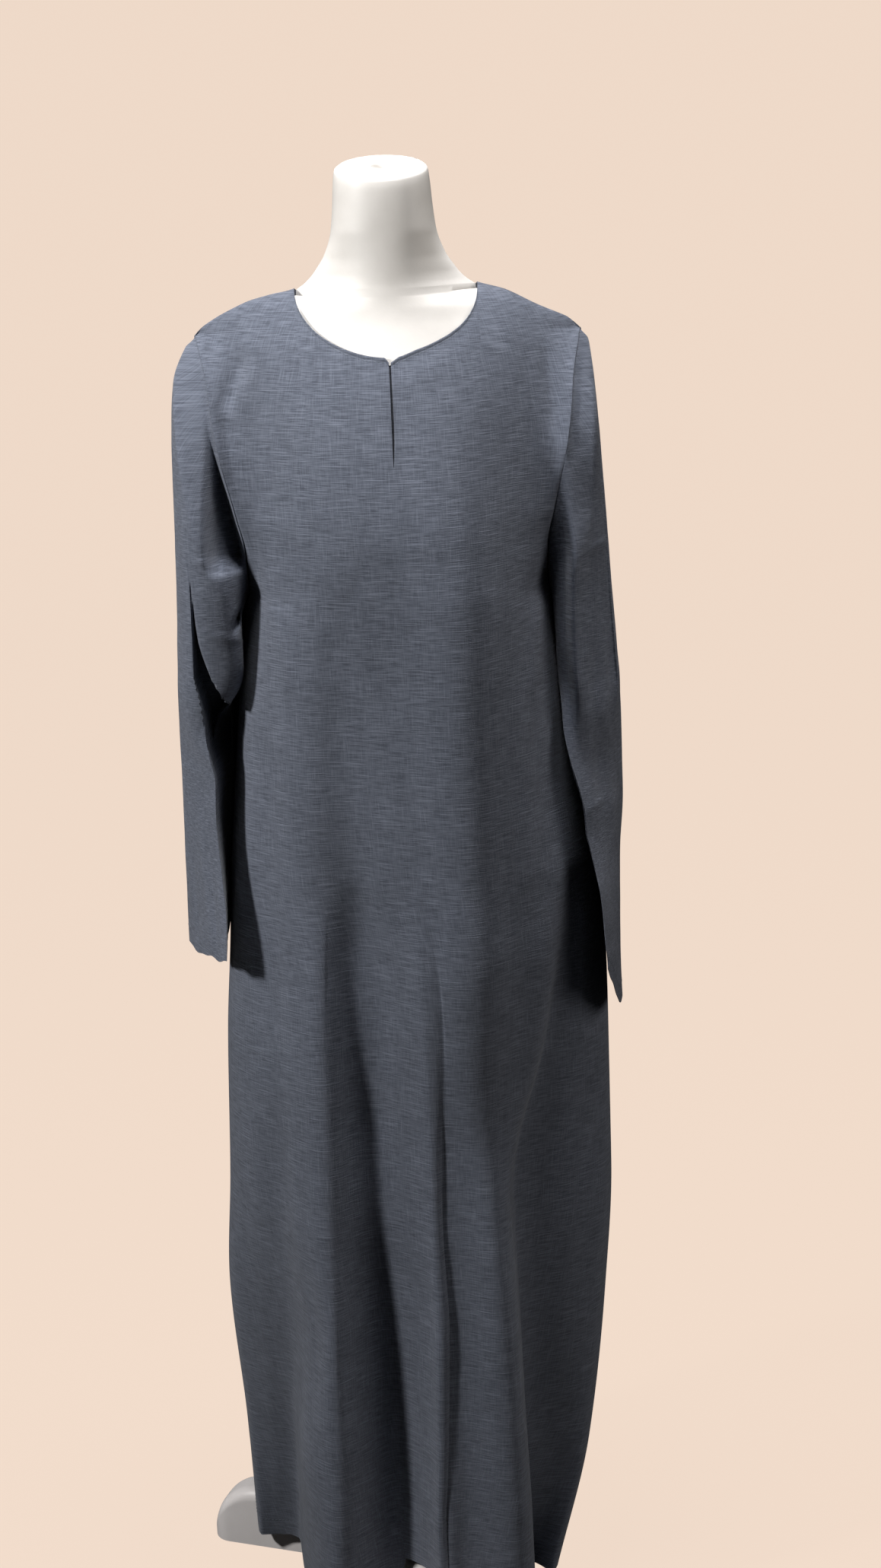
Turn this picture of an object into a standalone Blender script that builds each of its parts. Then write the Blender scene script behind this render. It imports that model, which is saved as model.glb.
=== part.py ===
"""A long straight abaya in slubbed cloth, hanging on a headless, limbless dress form.

Metres, +Z up, the front facing -Y. The origin is on the floor, in the middle of the
form's three-legged base. Plan places in the tables are measured from the neck's middle,
which stands NECK_X to the right of the base's middle and NECK_Y in front of it, because
the form leans a little on its pole.
"""

import math

import bmesh
import bpy
import numpy as np
from mathutils import Vector

# Driving dimensions
CLOTH = 0.0012
SEAM_GAP = 0.0003
ARMHOLE_GAP = 0.00045
NECK_X = 0.035
NECK_Y = -0.030
SHOULDER_POINT_Z = 1.442
NECK_HALF_WIDTH = 0.090
SHOULDER_HALF_WIDTH = 0.190
SHOULDER_SLOPE = 0.445
SHOULDER_TILT = 0.026
# How far the shoulders round up over a straight slope, over the distance from the middle.
SHOULDER_RISE = ((-0.190, 0.0010), (-0.180, 0.0055), (-0.160, 0.0085), (-0.140, 0.0092),
                 (-0.115, 0.0058), (-0.090, 0.0010), (0.000, 0.0000), (0.090, 0.0050),
                 (0.120, 0.0092), (0.150, 0.0075), (0.175, 0.0080), (0.190, 0.0032))
FRONT_NECK_DROP = 0.060
BACK_NECK_DROP = 0.015
SLIT_BOTTOM_Z = 1.280
SLIT_WIDTH = 0.0042
UNDERARM_Z = 1.150
CHEST_Z = 1.200
SHOULDER_ROUND = 1.6
RIDGE_SOFTNESS = 0.03
# The cross-section's fullness: 1 - share ** SIDE_SHARPNESS, to a power that grows from
# the hips' to the chest's between two heights.
SIDE_SHARPNESS = 2.2
HIP_POWER = 0.5
CHEST_POWER = 0.9
POWER_HEIGHTS = (1.120, 1.320)
ARMHOLE_REACH = 4
HEM_Z = 0.030
HEM_LIFT = 0.047
HIP_Z = 0.860
NECK_SHARE = NECK_HALF_WIDTH / SHOULDER_HALF_WIDTH

FORM_BOTTOM_Z = 0.700
NECK_TOP_Z = 1.558
NECK_TOP_TILT = 0.22
NECK_HOLE_RADIUS = 0.0085
NECK_HOLE_DEPTH = 0.018
NECK_CROWN = 0.0008
NECK_CROWN_RADIUS = 0.030
FORM_LEAN = 1.2
FORM_CLEARANCE = 0.0008
FORM_NECK_SLACK = 0.06

POLE_RADIUS = 0.0125
HUB_RADIUS = 0.046
HUB_HEIGHT = 0.082
LEG_REACH = 0.240
LEG_HALF_WIDTH = 0.022
LEG_HEIGHT = 0.071
LEG_NOSE = 0.057
LEG_ROUNDING = 0.014
NOSE_STATIONS = (0.0, 0.28, 0.53, 0.70, 0.84, 0.93, 0.98)
LEG_AZIMUTHS = (160.5, 280.5, 40.5)
LEG_CLEAR = (0.027, 0.036)

# The body's cross-sections, from hem to underarm: height, left and right edge, depth in
# front and behind, and how far back the left and right side seams lie.
BODY_COLUMNS = ("z", "left", "right", "front", "back", "left_seam", "right_seam")
BODY = (
    (0.030, -0.2105, 0.1300, 0.128, 0.165, 0.056, -0.044),
    (0.180, -0.2120, 0.1695, 0.130, 0.158, 0.045, -0.026),
    (0.360, -0.2190, 0.1880, 0.129, 0.148, 0.028, -0.014),
    (0.500, -0.2120, 0.2030, 0.127, 0.139, 0.016, -0.006),
    (0.670, -0.2035, 0.2035, 0.124, 0.130, 0.008, 0.000),
    (0.760, -0.1955, 0.2005, 0.122, 0.124, 0.004, 0.000),
    (0.860, -0.1875, 0.1895, 0.120, 0.118, 0.002, 0.000),
    (0.960, -0.1768, 0.1745, 0.120, 0.112, 0.000, 0.000),
    (1.060, -0.1655, 0.1630, 0.121, 0.107, 0.000, 0.000),
    (1.150, -0.1530, 0.1530, 0.123, 0.106, 0.000, 0.000),
)

# The armhole's edge: height, half width, and how far it stands in front and behind.
ARMHOLE_COLUMNS = ("z", "half_width", "front", "back")
ARMHOLE = (
    (1.150, 0.153, 0.000, 0.000),
    (1.165, 0.150, 0.030, 0.028),
    (1.190, 0.150, 0.047, 0.044),
    (1.230, 0.157, 0.058, 0.055),
    (1.280, 0.168, 0.060, 0.060),
    (1.320, 0.175, 0.051, 0.055),
    (1.360, 0.180, 0.034, 0.040),
    (1.385, 0.186, 0.016, 0.020),
    (1.400, 0.190, 0.000, 0.000),
)

# The front's fold lines, from the left side seam to the right one. Each row is the name,
# the share of the half width at the hip, where the fold dies out, and its x and its y at
# the five heights.
FOLD_HEIGHTS = (0.030, 0.180, 0.360, 0.500, 0.670)
FRONT_FOLDS = (
    ("left_seam", -1.000, (-0.2105, -0.2120, -0.2190, -0.2120, -0.2035),
     (0.056, 0.045, 0.028, 0.016, 0.008)),
    ("left_turn", -0.965, (-0.2050, -0.2070, -0.2130, -0.2060, -0.1980),
     (0.045, 0.033, 0.010, -0.008, -0.022)),
    ("left_flank", -0.840, (-0.1900, -0.1870, -0.1880, -0.1840, -0.1720),
     (0.045, 0.018, -0.018, -0.043, -0.062)),
    ("recess_a", -0.700, (-0.1630, -0.1580, -0.1520, -0.1520, -0.1450),
     (0.036, 0.002, -0.047, -0.070, -0.086)),
    ("corner_a", -0.600, (-0.1520, -0.1460, -0.1260, -0.1330, -0.1280),
     (-0.045, -0.078, -0.098, -0.098, -0.101)),
    ("ridge_1", -NECK_SHARE, (-0.1100, -0.1060, -0.1020, -0.1020, -0.0970),
     (-0.124, -0.129, -0.127, -0.122, -0.117)),
    ("trough", -0.250, (-0.0460, -0.0420, -0.0470, -0.0500, -0.0450),
     (-0.089, -0.085, -0.089, -0.096, -0.106)),
    ("ridge_2", 0.000, (0.0000, 0.0020, 0.0100, 0.0080, 0.0100),
     (-0.130, -0.133, -0.131, -0.129, -0.127)),
    ("crease", 0.070, (0.0080, 0.0090, 0.0160, 0.0170, 0.0260),
     (-0.126, -0.127, -0.124, -0.122, -0.123)),
    ("ridge_3", 0.260, (0.0780, 0.0770, 0.0720, 0.0640, 0.0520),
     (-0.130, -0.134, -0.134, -0.131, -0.126)),
    ("lap", NECK_SHARE, (0.0870, 0.0840, 0.0775, 0.0735, 0.0850),
     (-0.124, -0.129, -0.131, -0.126, -0.112)),
    ("edge", 0.760, (0.0915, 0.0880, 0.0820, 0.0790, 0.1180),
     (-0.108, -0.116, -0.121, -0.118, -0.088)),
    ("recess_b", 0.840, (0.0955, 0.0920, 0.0865, 0.0865, 0.1260),
     (-0.020, -0.048, -0.076, -0.088, -0.074)),
    ("right_flank", 0.920, (0.1080, 0.1300, 0.1420, 0.1530, 0.1690),
     (-0.034, -0.046, -0.060, -0.064, -0.054)),
    ("right_turn", 0.970, (0.1225, 0.1600, 0.1780, 0.1945, 0.1975),
     (-0.0545, -0.040, -0.034, -0.030, -0.022)),
    ("right_seam", 1.000, (0.1300, 0.1695, 0.1880, 0.2030, 0.2035),
     (-0.044, -0.026, -0.014, -0.006, 0.000)),
)
# How many columns of the front lie between one fold line and the next, and how much
# closer together they lie beside a shoulder point.
FRONT_STEPS = (1, 2, 2, 2, 3, 4, 4, 2, 4, 3, 2, 2, 3, 2, 1)
CLOSER = 1.7

# The back's ridges: share of the half width at the hip and at the hem, half the ridge's
# width as a share, how far it stands out at the hem, and the height where it dies out.
BACK_RIDGES = (
    (-0.66, -0.70, 0.150, 0.024, 0.78),
    (-0.34, -0.38, 0.170, 0.034, 0.94),
    (0.02, -0.03, 0.150, 0.027, 0.84),
    (0.30, 0.31, 0.160, 0.036, 1.00),
    (0.62, 0.66, 0.150, 0.026, 0.80),
)

# Both sleeves hang as flattened tubes: height, outer and inner edge from the neck's
# middle, depth in front and behind, and how much the section slants in towards the back.
SLEEVE_COLUMNS = ("z", "outer", "inner", "front", "back", "slant")
SLEEVES = {
    "right": (
        (1.400, 0.196, 0.150, 0.045, 0.045, 0.00),
        (1.360, 0.2135, 0.150, 0.062, 0.065, 0.00),
        (1.300, 0.2190, 0.150, 0.073, 0.077, 0.00),
        (1.220, 0.2215, 0.152, 0.079, 0.082, -0.05),
        (1.150, 0.2245, 0.146, 0.083, 0.078, -0.20),
        (1.080, 0.2280, 0.140, 0.087, 0.070, -0.40),
        (1.020, 0.2310, 0.170, 0.091, 0.059, -0.08),
        (0.960, 0.2325, 0.192, 0.095, 0.047, 0.11),
        (0.880, 0.2325, 0.196, 0.099, 0.035, 0.07),
        (0.775, 0.2345, 0.2005, 0.103, 0.020, 0.04),
    ),
    "left": (
        (1.400, 0.196, 0.150, 0.045, 0.045, 0.00),
        (1.360, 0.2005, 0.150, 0.062, 0.065, 0.00),
        (1.300, 0.2060, 0.150, 0.072, 0.077, 0.00),
        (1.220, 0.2105, 0.150, 0.077, 0.082, -0.06),
        (1.150, 0.2140, 0.140, 0.080, 0.079, -0.25),
        (1.080, 0.2170, 0.136, 0.084, 0.072, -0.45),
        (1.010, 0.2190, 0.139, 0.088, 0.062, -0.45),
        (0.920, 0.2180, 0.165, 0.092, 0.046, -0.24),
        (0.860, 0.2150, 0.179, 0.095, 0.035, -0.13),
        (0.800, 0.2135, 0.188, 0.098, 0.024, -0.12),
        (0.750, 0.2140, 0.193, 0.100, 0.018, -0.12),
        (0.700, 0.2155, 0.195, 0.101, 0.014, -0.12),
    ),
}
# The wearer's right sleeve is at -X. Each cuff's height under the arm and outside.
SLEEVE_SIDE = {"right": -1.0, "left": 1.0}
CUFF_INNER_Z = {"right": 0.781, "left": 0.770}
CUFF_OUTER_Z = {"right": 0.774, "left": 0.696}
SLEEVE_RINGS = 19
SLEEVE_ROUND = 0.85
# How far below the armhole a sleeve takes its hanging form: outside, the more of it under
# the arm, and the more in front and behind.
SLEEVE_SETTLE = (0.012, 0.023, 0.075)

# Below the shoulders the form's own sections: height, half width, front and back depth.
FORM_COLUMNS = ("z", "half_width", "front", "back")
FORM = (
    (0.700, 0.118, 0.078, 0.080),
    (0.720, 0.134, 0.090, 0.092),
    (0.780, 0.150, 0.098, 0.098),
    (0.860, 0.153, 0.098, 0.097),
    (0.940, 0.132, 0.088, 0.088),
    (1.020, 0.116, 0.082, 0.076),
    (1.100, 0.126, 0.096, 0.084),
    (1.180, 0.140, 0.114, 0.094),
    (1.240, 0.148, 0.113, 0.097),
)
# Above them, the half width only: the depth follows the cloth's, FORM_CLEARANCE inside.
FORM_TOP = (
    (1.240, 0.148),
    (1.290, 0.158),
    (1.330, 0.166),
    (1.360, 0.171),
    (1.378, 0.173),
    (1.388, 0.1715),
    (1.394, 0.169),
    (1.400, 0.165),
    (1.406, 0.159),
    (1.412, 0.150),
    (1.425, 0.130),
    (1.432, 0.107),
    (1.438, 0.087),
)
# The neck: height, half width, and its depth in front and behind.
NECK = (
    (1.4445, 0.0745, 0.0490, 0.0420),
    (1.4510, 0.0700, 0.0488, 0.0430),
    (1.4600, 0.0660, 0.0485, 0.0440),
    (1.4750, 0.0585, 0.0480, 0.0450),
    (1.4950, 0.0520, 0.0475, 0.0455),
    (1.5200, 0.0490, 0.0470, 0.0460),
    (1.5450, 0.0470, 0.0460, 0.0455),
    (1.5550, 0.0455, 0.0445, 0.0445),
    (NECK_TOP_Z, 0.0420, 0.0410, 0.0410),
)
# The neck's front grows out of the chest between these heights.
NECK_BLEND = (1.390, 1.425)


FORM_SEGMENTS = 40
FORM_RING_HEIGHTS = (0.700, 0.712, 0.735, 0.780, 0.840, 0.900, 0.960, 1.020, 1.080, 1.140,
                     1.190, 1.240, 1.280, 1.320, 1.350, 1.370, 1.382, 1.390, 1.397, 1.404,
                     1.411, 1.418, 1.425, 1.432, 1.438)


def clear_scene():
    for old in list(bpy.data.objects):
        bpy.data.objects.remove(old, do_unlink=True)


def ease(low, high, value):
    """0 below low, 1 above high, and a smooth rise between them."""
    t = np.clip((value - low) / (high - low), 0.0, 1.0)
    return t * t * (3.0 - 2.0 * t)


def curve(knots, values, at):
    """A smooth curve through the knots that never overshoots them.

    values holds one number for each knot, or one row of numbers, a column for each point.
    """
    knots = np.asarray(knots, float)
    values = np.asarray(values, float)
    at = np.clip(np.asarray(at, float), knots[0], knots[-1])
    step = np.diff(knots)
    rise = np.diff(values, axis=0) / step.reshape(-1, *[1] * (values.ndim - 1))
    slope = np.zeros(values.shape)
    slope[0] = rise[0]
    slope[-1] = rise[-1]
    same = rise[1:] * rise[:-1] > 0
    with np.errstate(divide="ignore", invalid="ignore"):
        mean = 2.0 / (1.0 / rise[1:] + 1.0 / rise[:-1])
    slope[1:-1] = np.where(same, mean, 0.0)
    i = np.clip(np.searchsorted(knots, at, side="right") - 1, 0, len(step) - 1)
    t = (at - knots[i]) / step[i]
    h = step[i]
    low = (i, np.arange(len(at))) if values.ndim == 2 else i
    high = (i + 1, np.arange(len(at))) if values.ndim == 2 else i + 1
    return ((2 * t ** 3 - 3 * t ** 2 + 1) * values[low]
            + (t ** 3 - 2 * t ** 2 + t) * h * slope[low]
            + (3 * t ** 2 - 2 * t ** 3) * values[high]
            + (t ** 3 - t ** 2) * h * slope[high])


def from_table(rows, columns, name, z):
    rows = sorted(rows)
    k = columns.index(name)
    return curve([row[0] for row in rows], [row[k] for row in rows], z)


def body(name, z):
    return from_table(BODY, BODY_COLUMNS, name, z)


def shoulder_rise(x):
    return curve([row[0] for row in SHOULDER_RISE], [row[1] for row in SHOULDER_RISE], x)


def shoulder_line(x):
    """The shoulder seam's height over x, carried on as a ridge over the neck."""
    soft = np.sqrt(x * x + RIDGE_SOFTNESS ** 2) - math.hypot(NECK_HALF_WIDTH, RIDGE_SOFTNESS)
    straight = SHOULDER_POINT_Z - SHOULDER_SLOPE * soft - SHOULDER_TILT * x
    return straight + shoulder_rise(x)


def armhole(name, z, share):
    """The armhole's edge, stretched so that it ends on that side's own shoulder point."""
    tip = shoulder_line(np.where(np.asarray(share) < 0, -1.0, 1.0) * SHOULDER_HALF_WIDTH)
    full = ARMHOLE[-1][0] - UNDERARM_Z
    level = UNDERARM_Z + (z - UNDERARM_Z) * full / (tip - UNDERARM_Z)
    return from_table(ARMHOLE, ARMHOLE_COLUMNS, name, level)


def half_width(z, share):
    below = (body("right", z) - body("left", z)) / 2.0
    return np.where(z < UNDERARM_Z, below, armhole("half_width", z, share))


def middle(z):
    return np.where(z < UNDERARM_Z, (body("right", z) + body("left", z)) / 2.0, 0.0)


def section(share, z, side):
    """A smooth point of the body without folds: its x, and its depth on that side."""
    share = np.asarray(share, float)
    x = middle(z) + share * half_width(z, share)
    deep = body(side, z)
    above = np.clip((z - CHEST_Z) / (shoulder_line(x) - CHEST_Z), 0.0, 1.0)
    deep = deep * (1.0 - above ** SHOULDER_ROUND) ** (1.0 / SHOULDER_ROUND)
    edge = np.where(z < UNDERARM_Z, 0.0, armhole(side, z, share))
    edge = edge * np.abs(share) ** ARMHOLE_REACH
    seam = (body("left_seam", z) * (1 - share) + body("right_seam", z) * (1 + share)) / 2
    seam = np.where(z < UNDERARM_Z, seam, 0.0)
    power = HIP_POWER + (CHEST_POWER - HIP_POWER) * ease(*POWER_HEIGHTS, z)
    profile = np.clip(1.0 - np.abs(share) ** SIDE_SHARPNESS, 0.0, 1.0) ** power
    if side == "front":
        return x, seam - edge - (deep - edge + seam) * profile
    return x, seam + edge + (deep - edge - seam) * profile


def hem_height(x, y):
    """The hem hangs just over the floor, and is lifted where it lies over a leg."""
    near = np.full(np.shape(x), 1.0)
    for azimuth in LEG_AZIMUTHS:
        along = (math.cos(math.radians(azimuth)), math.sin(math.radians(azimuth)))
        from_x = x + NECK_X
        from_y = y + NECK_Y
        ahead = from_x * along[0] + from_y * along[1]
        aside = np.abs(from_x * along[1] - from_y * along[0])
        near = np.where(ahead > 0.0, np.minimum(near, aside), near)
    return HEM_Z + HEM_LIFT * (1.0 - ease(LEG_CLEAR[0], LEG_CLEAR[1], near))


def front_surface(line, z):
    """Points of the front: line counts the fold lines from the left side seam."""
    count = np.arange(len(FRONT_FOLDS))
    heights = FOLD_HEIGHTS + (HIP_Z,)
    fold_x = []
    fold_y = []
    for _name, share, xs, ys in FRONT_FOLDS:
        at = section(share, np.array(FOLD_HEIGHTS), "front")
        plain = section(share, z, "front")
        fold_x.append(plain[0] + curve(heights, np.append(np.array(xs) - at[0], 0.0), z))
        fold_y.append(plain[1] + curve(heights, np.append(np.array(ys) - at[1], 0.0), z))
    x, y = section(curve(count, [fold[1] for fold in FRONT_FOLDS], line), z, "front")
    x = np.where(z < HIP_Z, curve(count, np.array(fold_x), line), x)
    y = np.where(z < HIP_Z, curve(count, np.array(fold_y), line), y)
    return x, y


def back_surface(share, z):
    """Points of the back, with its ridges, which grow towards the hem."""
    x, y = section(share, z, "back")
    for hip, hem, half, depth, top in BACK_RIDGES:
        down = np.clip((top - z) / (top - HEM_Z), 0.0, 1.0)
        near = np.clip(np.abs(share - hip - (hem - hip) * down) / half, 0.0, 1.0)
        y = y + depth * down ** 1.3 * 0.5 * (1.0 + np.cos(math.pi * near))
    return x, y


# The rows of a panel's points: shares of the way up from the hem, then level rows, rows
# beside the armhole's curve, and shares of the way from the slit's foot to the top.
HEM_ROWS = (0.0, 0.2, 0.45, 0.72)
LEVEL_ROWS = (0.26, 0.32, 0.39, 0.46, 0.53, 0.61, 0.69, 0.77, 0.86, 0.95, 1.04, 1.10)
ARMHOLE_ROWS = (UNDERARM_Z, 1.163, 1.185, 1.212, 1.245)
TOP_ROWS = (0.0, 0.28, 0.52, 0.72, 0.86, 0.95, 1.0)
ARM_ROW = len(HEM_ROWS) + len(LEVEL_ROWS)
SLIT_ROW = ARM_ROW + len(ARMHOLE_ROWS)
TOP_ROW = SLIT_ROW + len(TOP_ROWS) - 1


def grid_heights(top_z, hem_z):
    """The heights of one column's points, from hem to top."""
    low = [hem_z + (LEVEL_ROWS[0] - hem_z) * t for t in HEM_ROWS]
    high = [SLIT_BOTTOM_Z + (top_z - SLIT_BOTTOM_Z) * t for t in TOP_ROWS]
    return low + list(LEVEL_ROWS) + list(ARMHOLE_ROWS) + high


def top_height(share, drop):
    """The neckline between the shoulder points, and the shoulder seam outside them."""
    inside = abs(share) / NECK_SHARE
    seam = float(shoulder_line(share * SHOULDER_HALF_WIDTH))
    if inside >= 1.0:
        return seam
    x = share * SHOULDER_HALF_WIDTH
    level = SHOULDER_POINT_Z - SHOULDER_TILT * x + float(shoulder_rise(x))
    return level - drop * math.sqrt(1.0 - inside * inside)


def front_lines():
    """Where the front's columns lie, closer together beside the shoulder points."""
    lines = [0.0]
    for k, steps in enumerate(FRONT_STEPS):
        for i in range(1, steps + 1):
            t = i / steps
            if FRONT_FOLDS[k][0] == "ridge_1":
                t = t ** CLOSER
            if FRONT_FOLDS[k][0] == "ridge_3":
                t = 1.0 - (1.0 - t) ** CLOSER
            lines.append(k + t)
    return lines


def back_shares():
    """The back's columns, with one on each shoulder point."""
    outer = [math.sin(math.pi / 2 * t) for t in np.linspace(1.0, 0.36, 10)]
    outer = [NECK_SHARE + (s - outer[-1]) * (1 - NECK_SHARE) / (1 - outer[-1])
             for s in outer]
    inner = [NECK_SHARE * math.sin(math.pi / 2 * t) for t in np.linspace(0.88, 0.0, 8)]
    half = outer + inner
    return [-s for s in half] + half[-2::-1]


def normals_of(points):
    """Smooth outward normals of a grid of points, rows going up, columns to the right."""
    along = np.gradient(points, axis=1)
    up = np.gradient(points, axis=0)
    normal = np.cross(along, up)
    return normal / np.linalg.norm(normal, axis=2, keepdims=True)


def panel_grid(lines, shares, place, drop, side):
    """Outer and inner points of a panel. side is -1 for the front and 1 for the back."""
    lines = np.asarray(lines, float)
    foot = place(lines, np.full(len(lines), HEM_Z))
    hems = hem_height(*foot)
    heights = np.array([grid_heights(top_height(share, drop), hem)
                        for share, hem in zip(shares, hems)]).T
    x, y = place(np.tile(lines, len(heights)), heights.ravel())
    outer = np.stack([x, y, heights.ravel()], axis=1).reshape(*heights.shape, 3)
    on_shoulder = np.abs(shares) > NECK_SHARE - 1e-6
    outer[TOP_ROW, on_shoulder, 1] = 0.0
    inward = side * normals_of(outer)
    for c, towards in ((0, 1.0), (-1, -1.0)):
        inward[:ARM_ROW + 1, c] = (towards, 0.0, 0.0)
        inward[ARM_ROW + 1:, c, 2] = 0.0
    inward[TOP_ROW, on_shoulder] = (0.0, 0.0, -1.0)
    inward /= np.linalg.norm(inward, axis=2, keepdims=True)
    shift = np.array([0.0, side * SEAM_GAP / 2.0, 0.0])
    return outer + shift, outer + inward * CLOTH + shift


def solid_from(outer, inner, quads):
    """Faces of a wall: its outside, its inside and a strip along each free edge."""
    count = len(outer)
    faces = [tuple(q) for q in quads]
    faces += [tuple(v + count for v in reversed(q)) for q in quads]
    edges = {}
    for q in quads:
        for a, b in zip(q, q[1:] + q[:1]):
            edges[(a, b)] = True
    for a, b in edges:
        if (b, a) not in edges:
            faces.append((b, a, a + count, b + count))
    return np.concatenate([outer, inner]), faces


def new_object(name, points, faces, material, smooth_angle=40.0):
    mesh = bpy.data.meshes.new(name)
    shifted = np.asarray(points, float) + (NECK_X, NECK_Y, 0.0)
    mesh.from_pydata([tuple(p) for p in shifted], [], faces)
    mesh.update()
    tidy = bmesh.new()
    tidy.from_mesh(mesh)
    bmesh.ops.recalc_face_normals(tidy, faces=tidy.faces)
    if tidy.calc_volume(signed=True) < 0:
        bmesh.ops.reverse_faces(tidy, faces=tidy.faces)
    tidy.to_mesh(mesh)
    tidy.free()
    mesh.shade_smooth()
    mesh.set_sharp_from_angle(angle=math.radians(smooth_angle))
    mesh.materials.append(material)
    made = bpy.data.objects.new(name, mesh)
    bpy.context.scene.collection.objects.link(made)
    return made


def plain_material(name, colour, roughness, metallic=0.0):
    made = bpy.data.materials.new(name)
    made.use_nodes = True
    shader = made.node_tree.nodes["Principled BSDF"]
    shader.inputs["Base Color"].default_value = (*colour, 1.0)
    shader.inputs["Roughness"].default_value = roughness
    shader.inputs["Metallic"].default_value = metallic
    return made


def make_front(material):
    """The front panel, with its neck slit cut as two edges that meet at its foot."""
    count = np.arange(len(FRONT_FOLDS))
    shares = [fold[1] for fold in FRONT_FOLDS]
    lines = front_lines()
    shares = curve(count, shares, lines)
    outer, inner = panel_grid(lines, shares, front_surface, FRONT_NECK_DROP, -1.0)
    centre = int(np.argmin(np.abs(shares)))
    width = len(lines)
    index = np.arange((TOP_ROW + 1) * width).reshape(TOP_ROW + 1, width)
    points_out = outer.reshape(-1, 3).copy()
    points_in = inner.reshape(-1, 3).copy()
    extra_out = []
    extra_in = []
    right_of_slit = index[:, centre].copy()
    top_z = outer[TOP_ROW, centre, 2]
    for r in range(SLIT_ROW + 1, TOP_ROW + 1):
        here = index[r, centre]
        t = (outer[r, centre, 2] - SLIT_BOTTOM_Z) / (top_z - SLIT_BOTTOM_Z)
        open_by = SLIT_WIDTH / 2.0 * math.sin(math.pi * min(1.0, 0.15 + t * 0.68)) ** 0.8
        right_of_slit[r] = len(points_out) + len(extra_out)
        extra_out.append(points_out[here] + (open_by, 0.0, 0.0))
        extra_in.append(points_in[here] + (open_by, 0.0, 0.0))
        points_out[here, 0] -= open_by
        points_in[here, 0] -= open_by
    points_out = np.concatenate([points_out, extra_out])
    points_in = np.concatenate([points_in, extra_in])
    quads = []
    for r in range(TOP_ROW):
        for c in range(width - 1):
            left = right_of_slit if c == centre else index[:, c]
            quads.append((left[r], index[r, c + 1], index[r + 1, c + 1], left[r + 1]))
    points, faces = solid_from(points_out, points_in, quads)
    new_object("front", points, faces, material)
    return outer, inner


def make_back(material):
    shares = np.array(back_shares())
    outer, inner = panel_grid(shares, shares, back_surface, BACK_NECK_DROP, 1.0)
    width = len(shares)
    index = np.arange((TOP_ROW + 1) * width).reshape(TOP_ROW + 1, width)
    quads = []
    for r in range(TOP_ROW):
        for c in range(width - 1):
            quads.append((index[r, c + 1], index[r, c], index[r + 1, c], index[r + 1, c + 1]))
    points, faces = solid_from(outer.reshape(-1, 3), inner.reshape(-1, 3), quads)
    new_object("back", points, faces, material)
    return outer, inner


def armhole_ring(front, back, column):
    """The armhole's points, from the shoulder down the front and up the back."""
    down = front[TOP_ROW:ARM_ROW - 1:-1, column]
    up = back[ARM_ROW:TOP_ROW + 1, column]
    ring = [(down[0] + up[-1]) / 2.0]
    ring += list(down[1:-1])
    ring.append((down[-1] + up[0]) / 2.0)
    ring += list(up[1:-1])
    return np.array(ring)


def sleeve_surface(name, angle, z):
    """A point of the hanging sleeve: angle 0 is outside, a quarter turn is in front."""
    def at(column):
        return from_table(SLEEVES[name], SLEEVE_COLUMNS, column, z)
    half = (at("outer") - at("inner")) / 2.0
    out = np.cos(angle)
    ahead = np.sin(angle)
    deep = np.where(ahead > 0, at("front"), at("back"))
    x = at("outer") - half + half * np.sign(out) * np.abs(out) ** SLEEVE_ROUND
    y = -deep * np.sign(ahead) * np.abs(ahead) ** SLEEVE_ROUND
    x = x - at("slant") * (y + at("front")) * (0.5 - 0.5 * out)
    return SLEEVE_SIDE[name] * x, y


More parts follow.
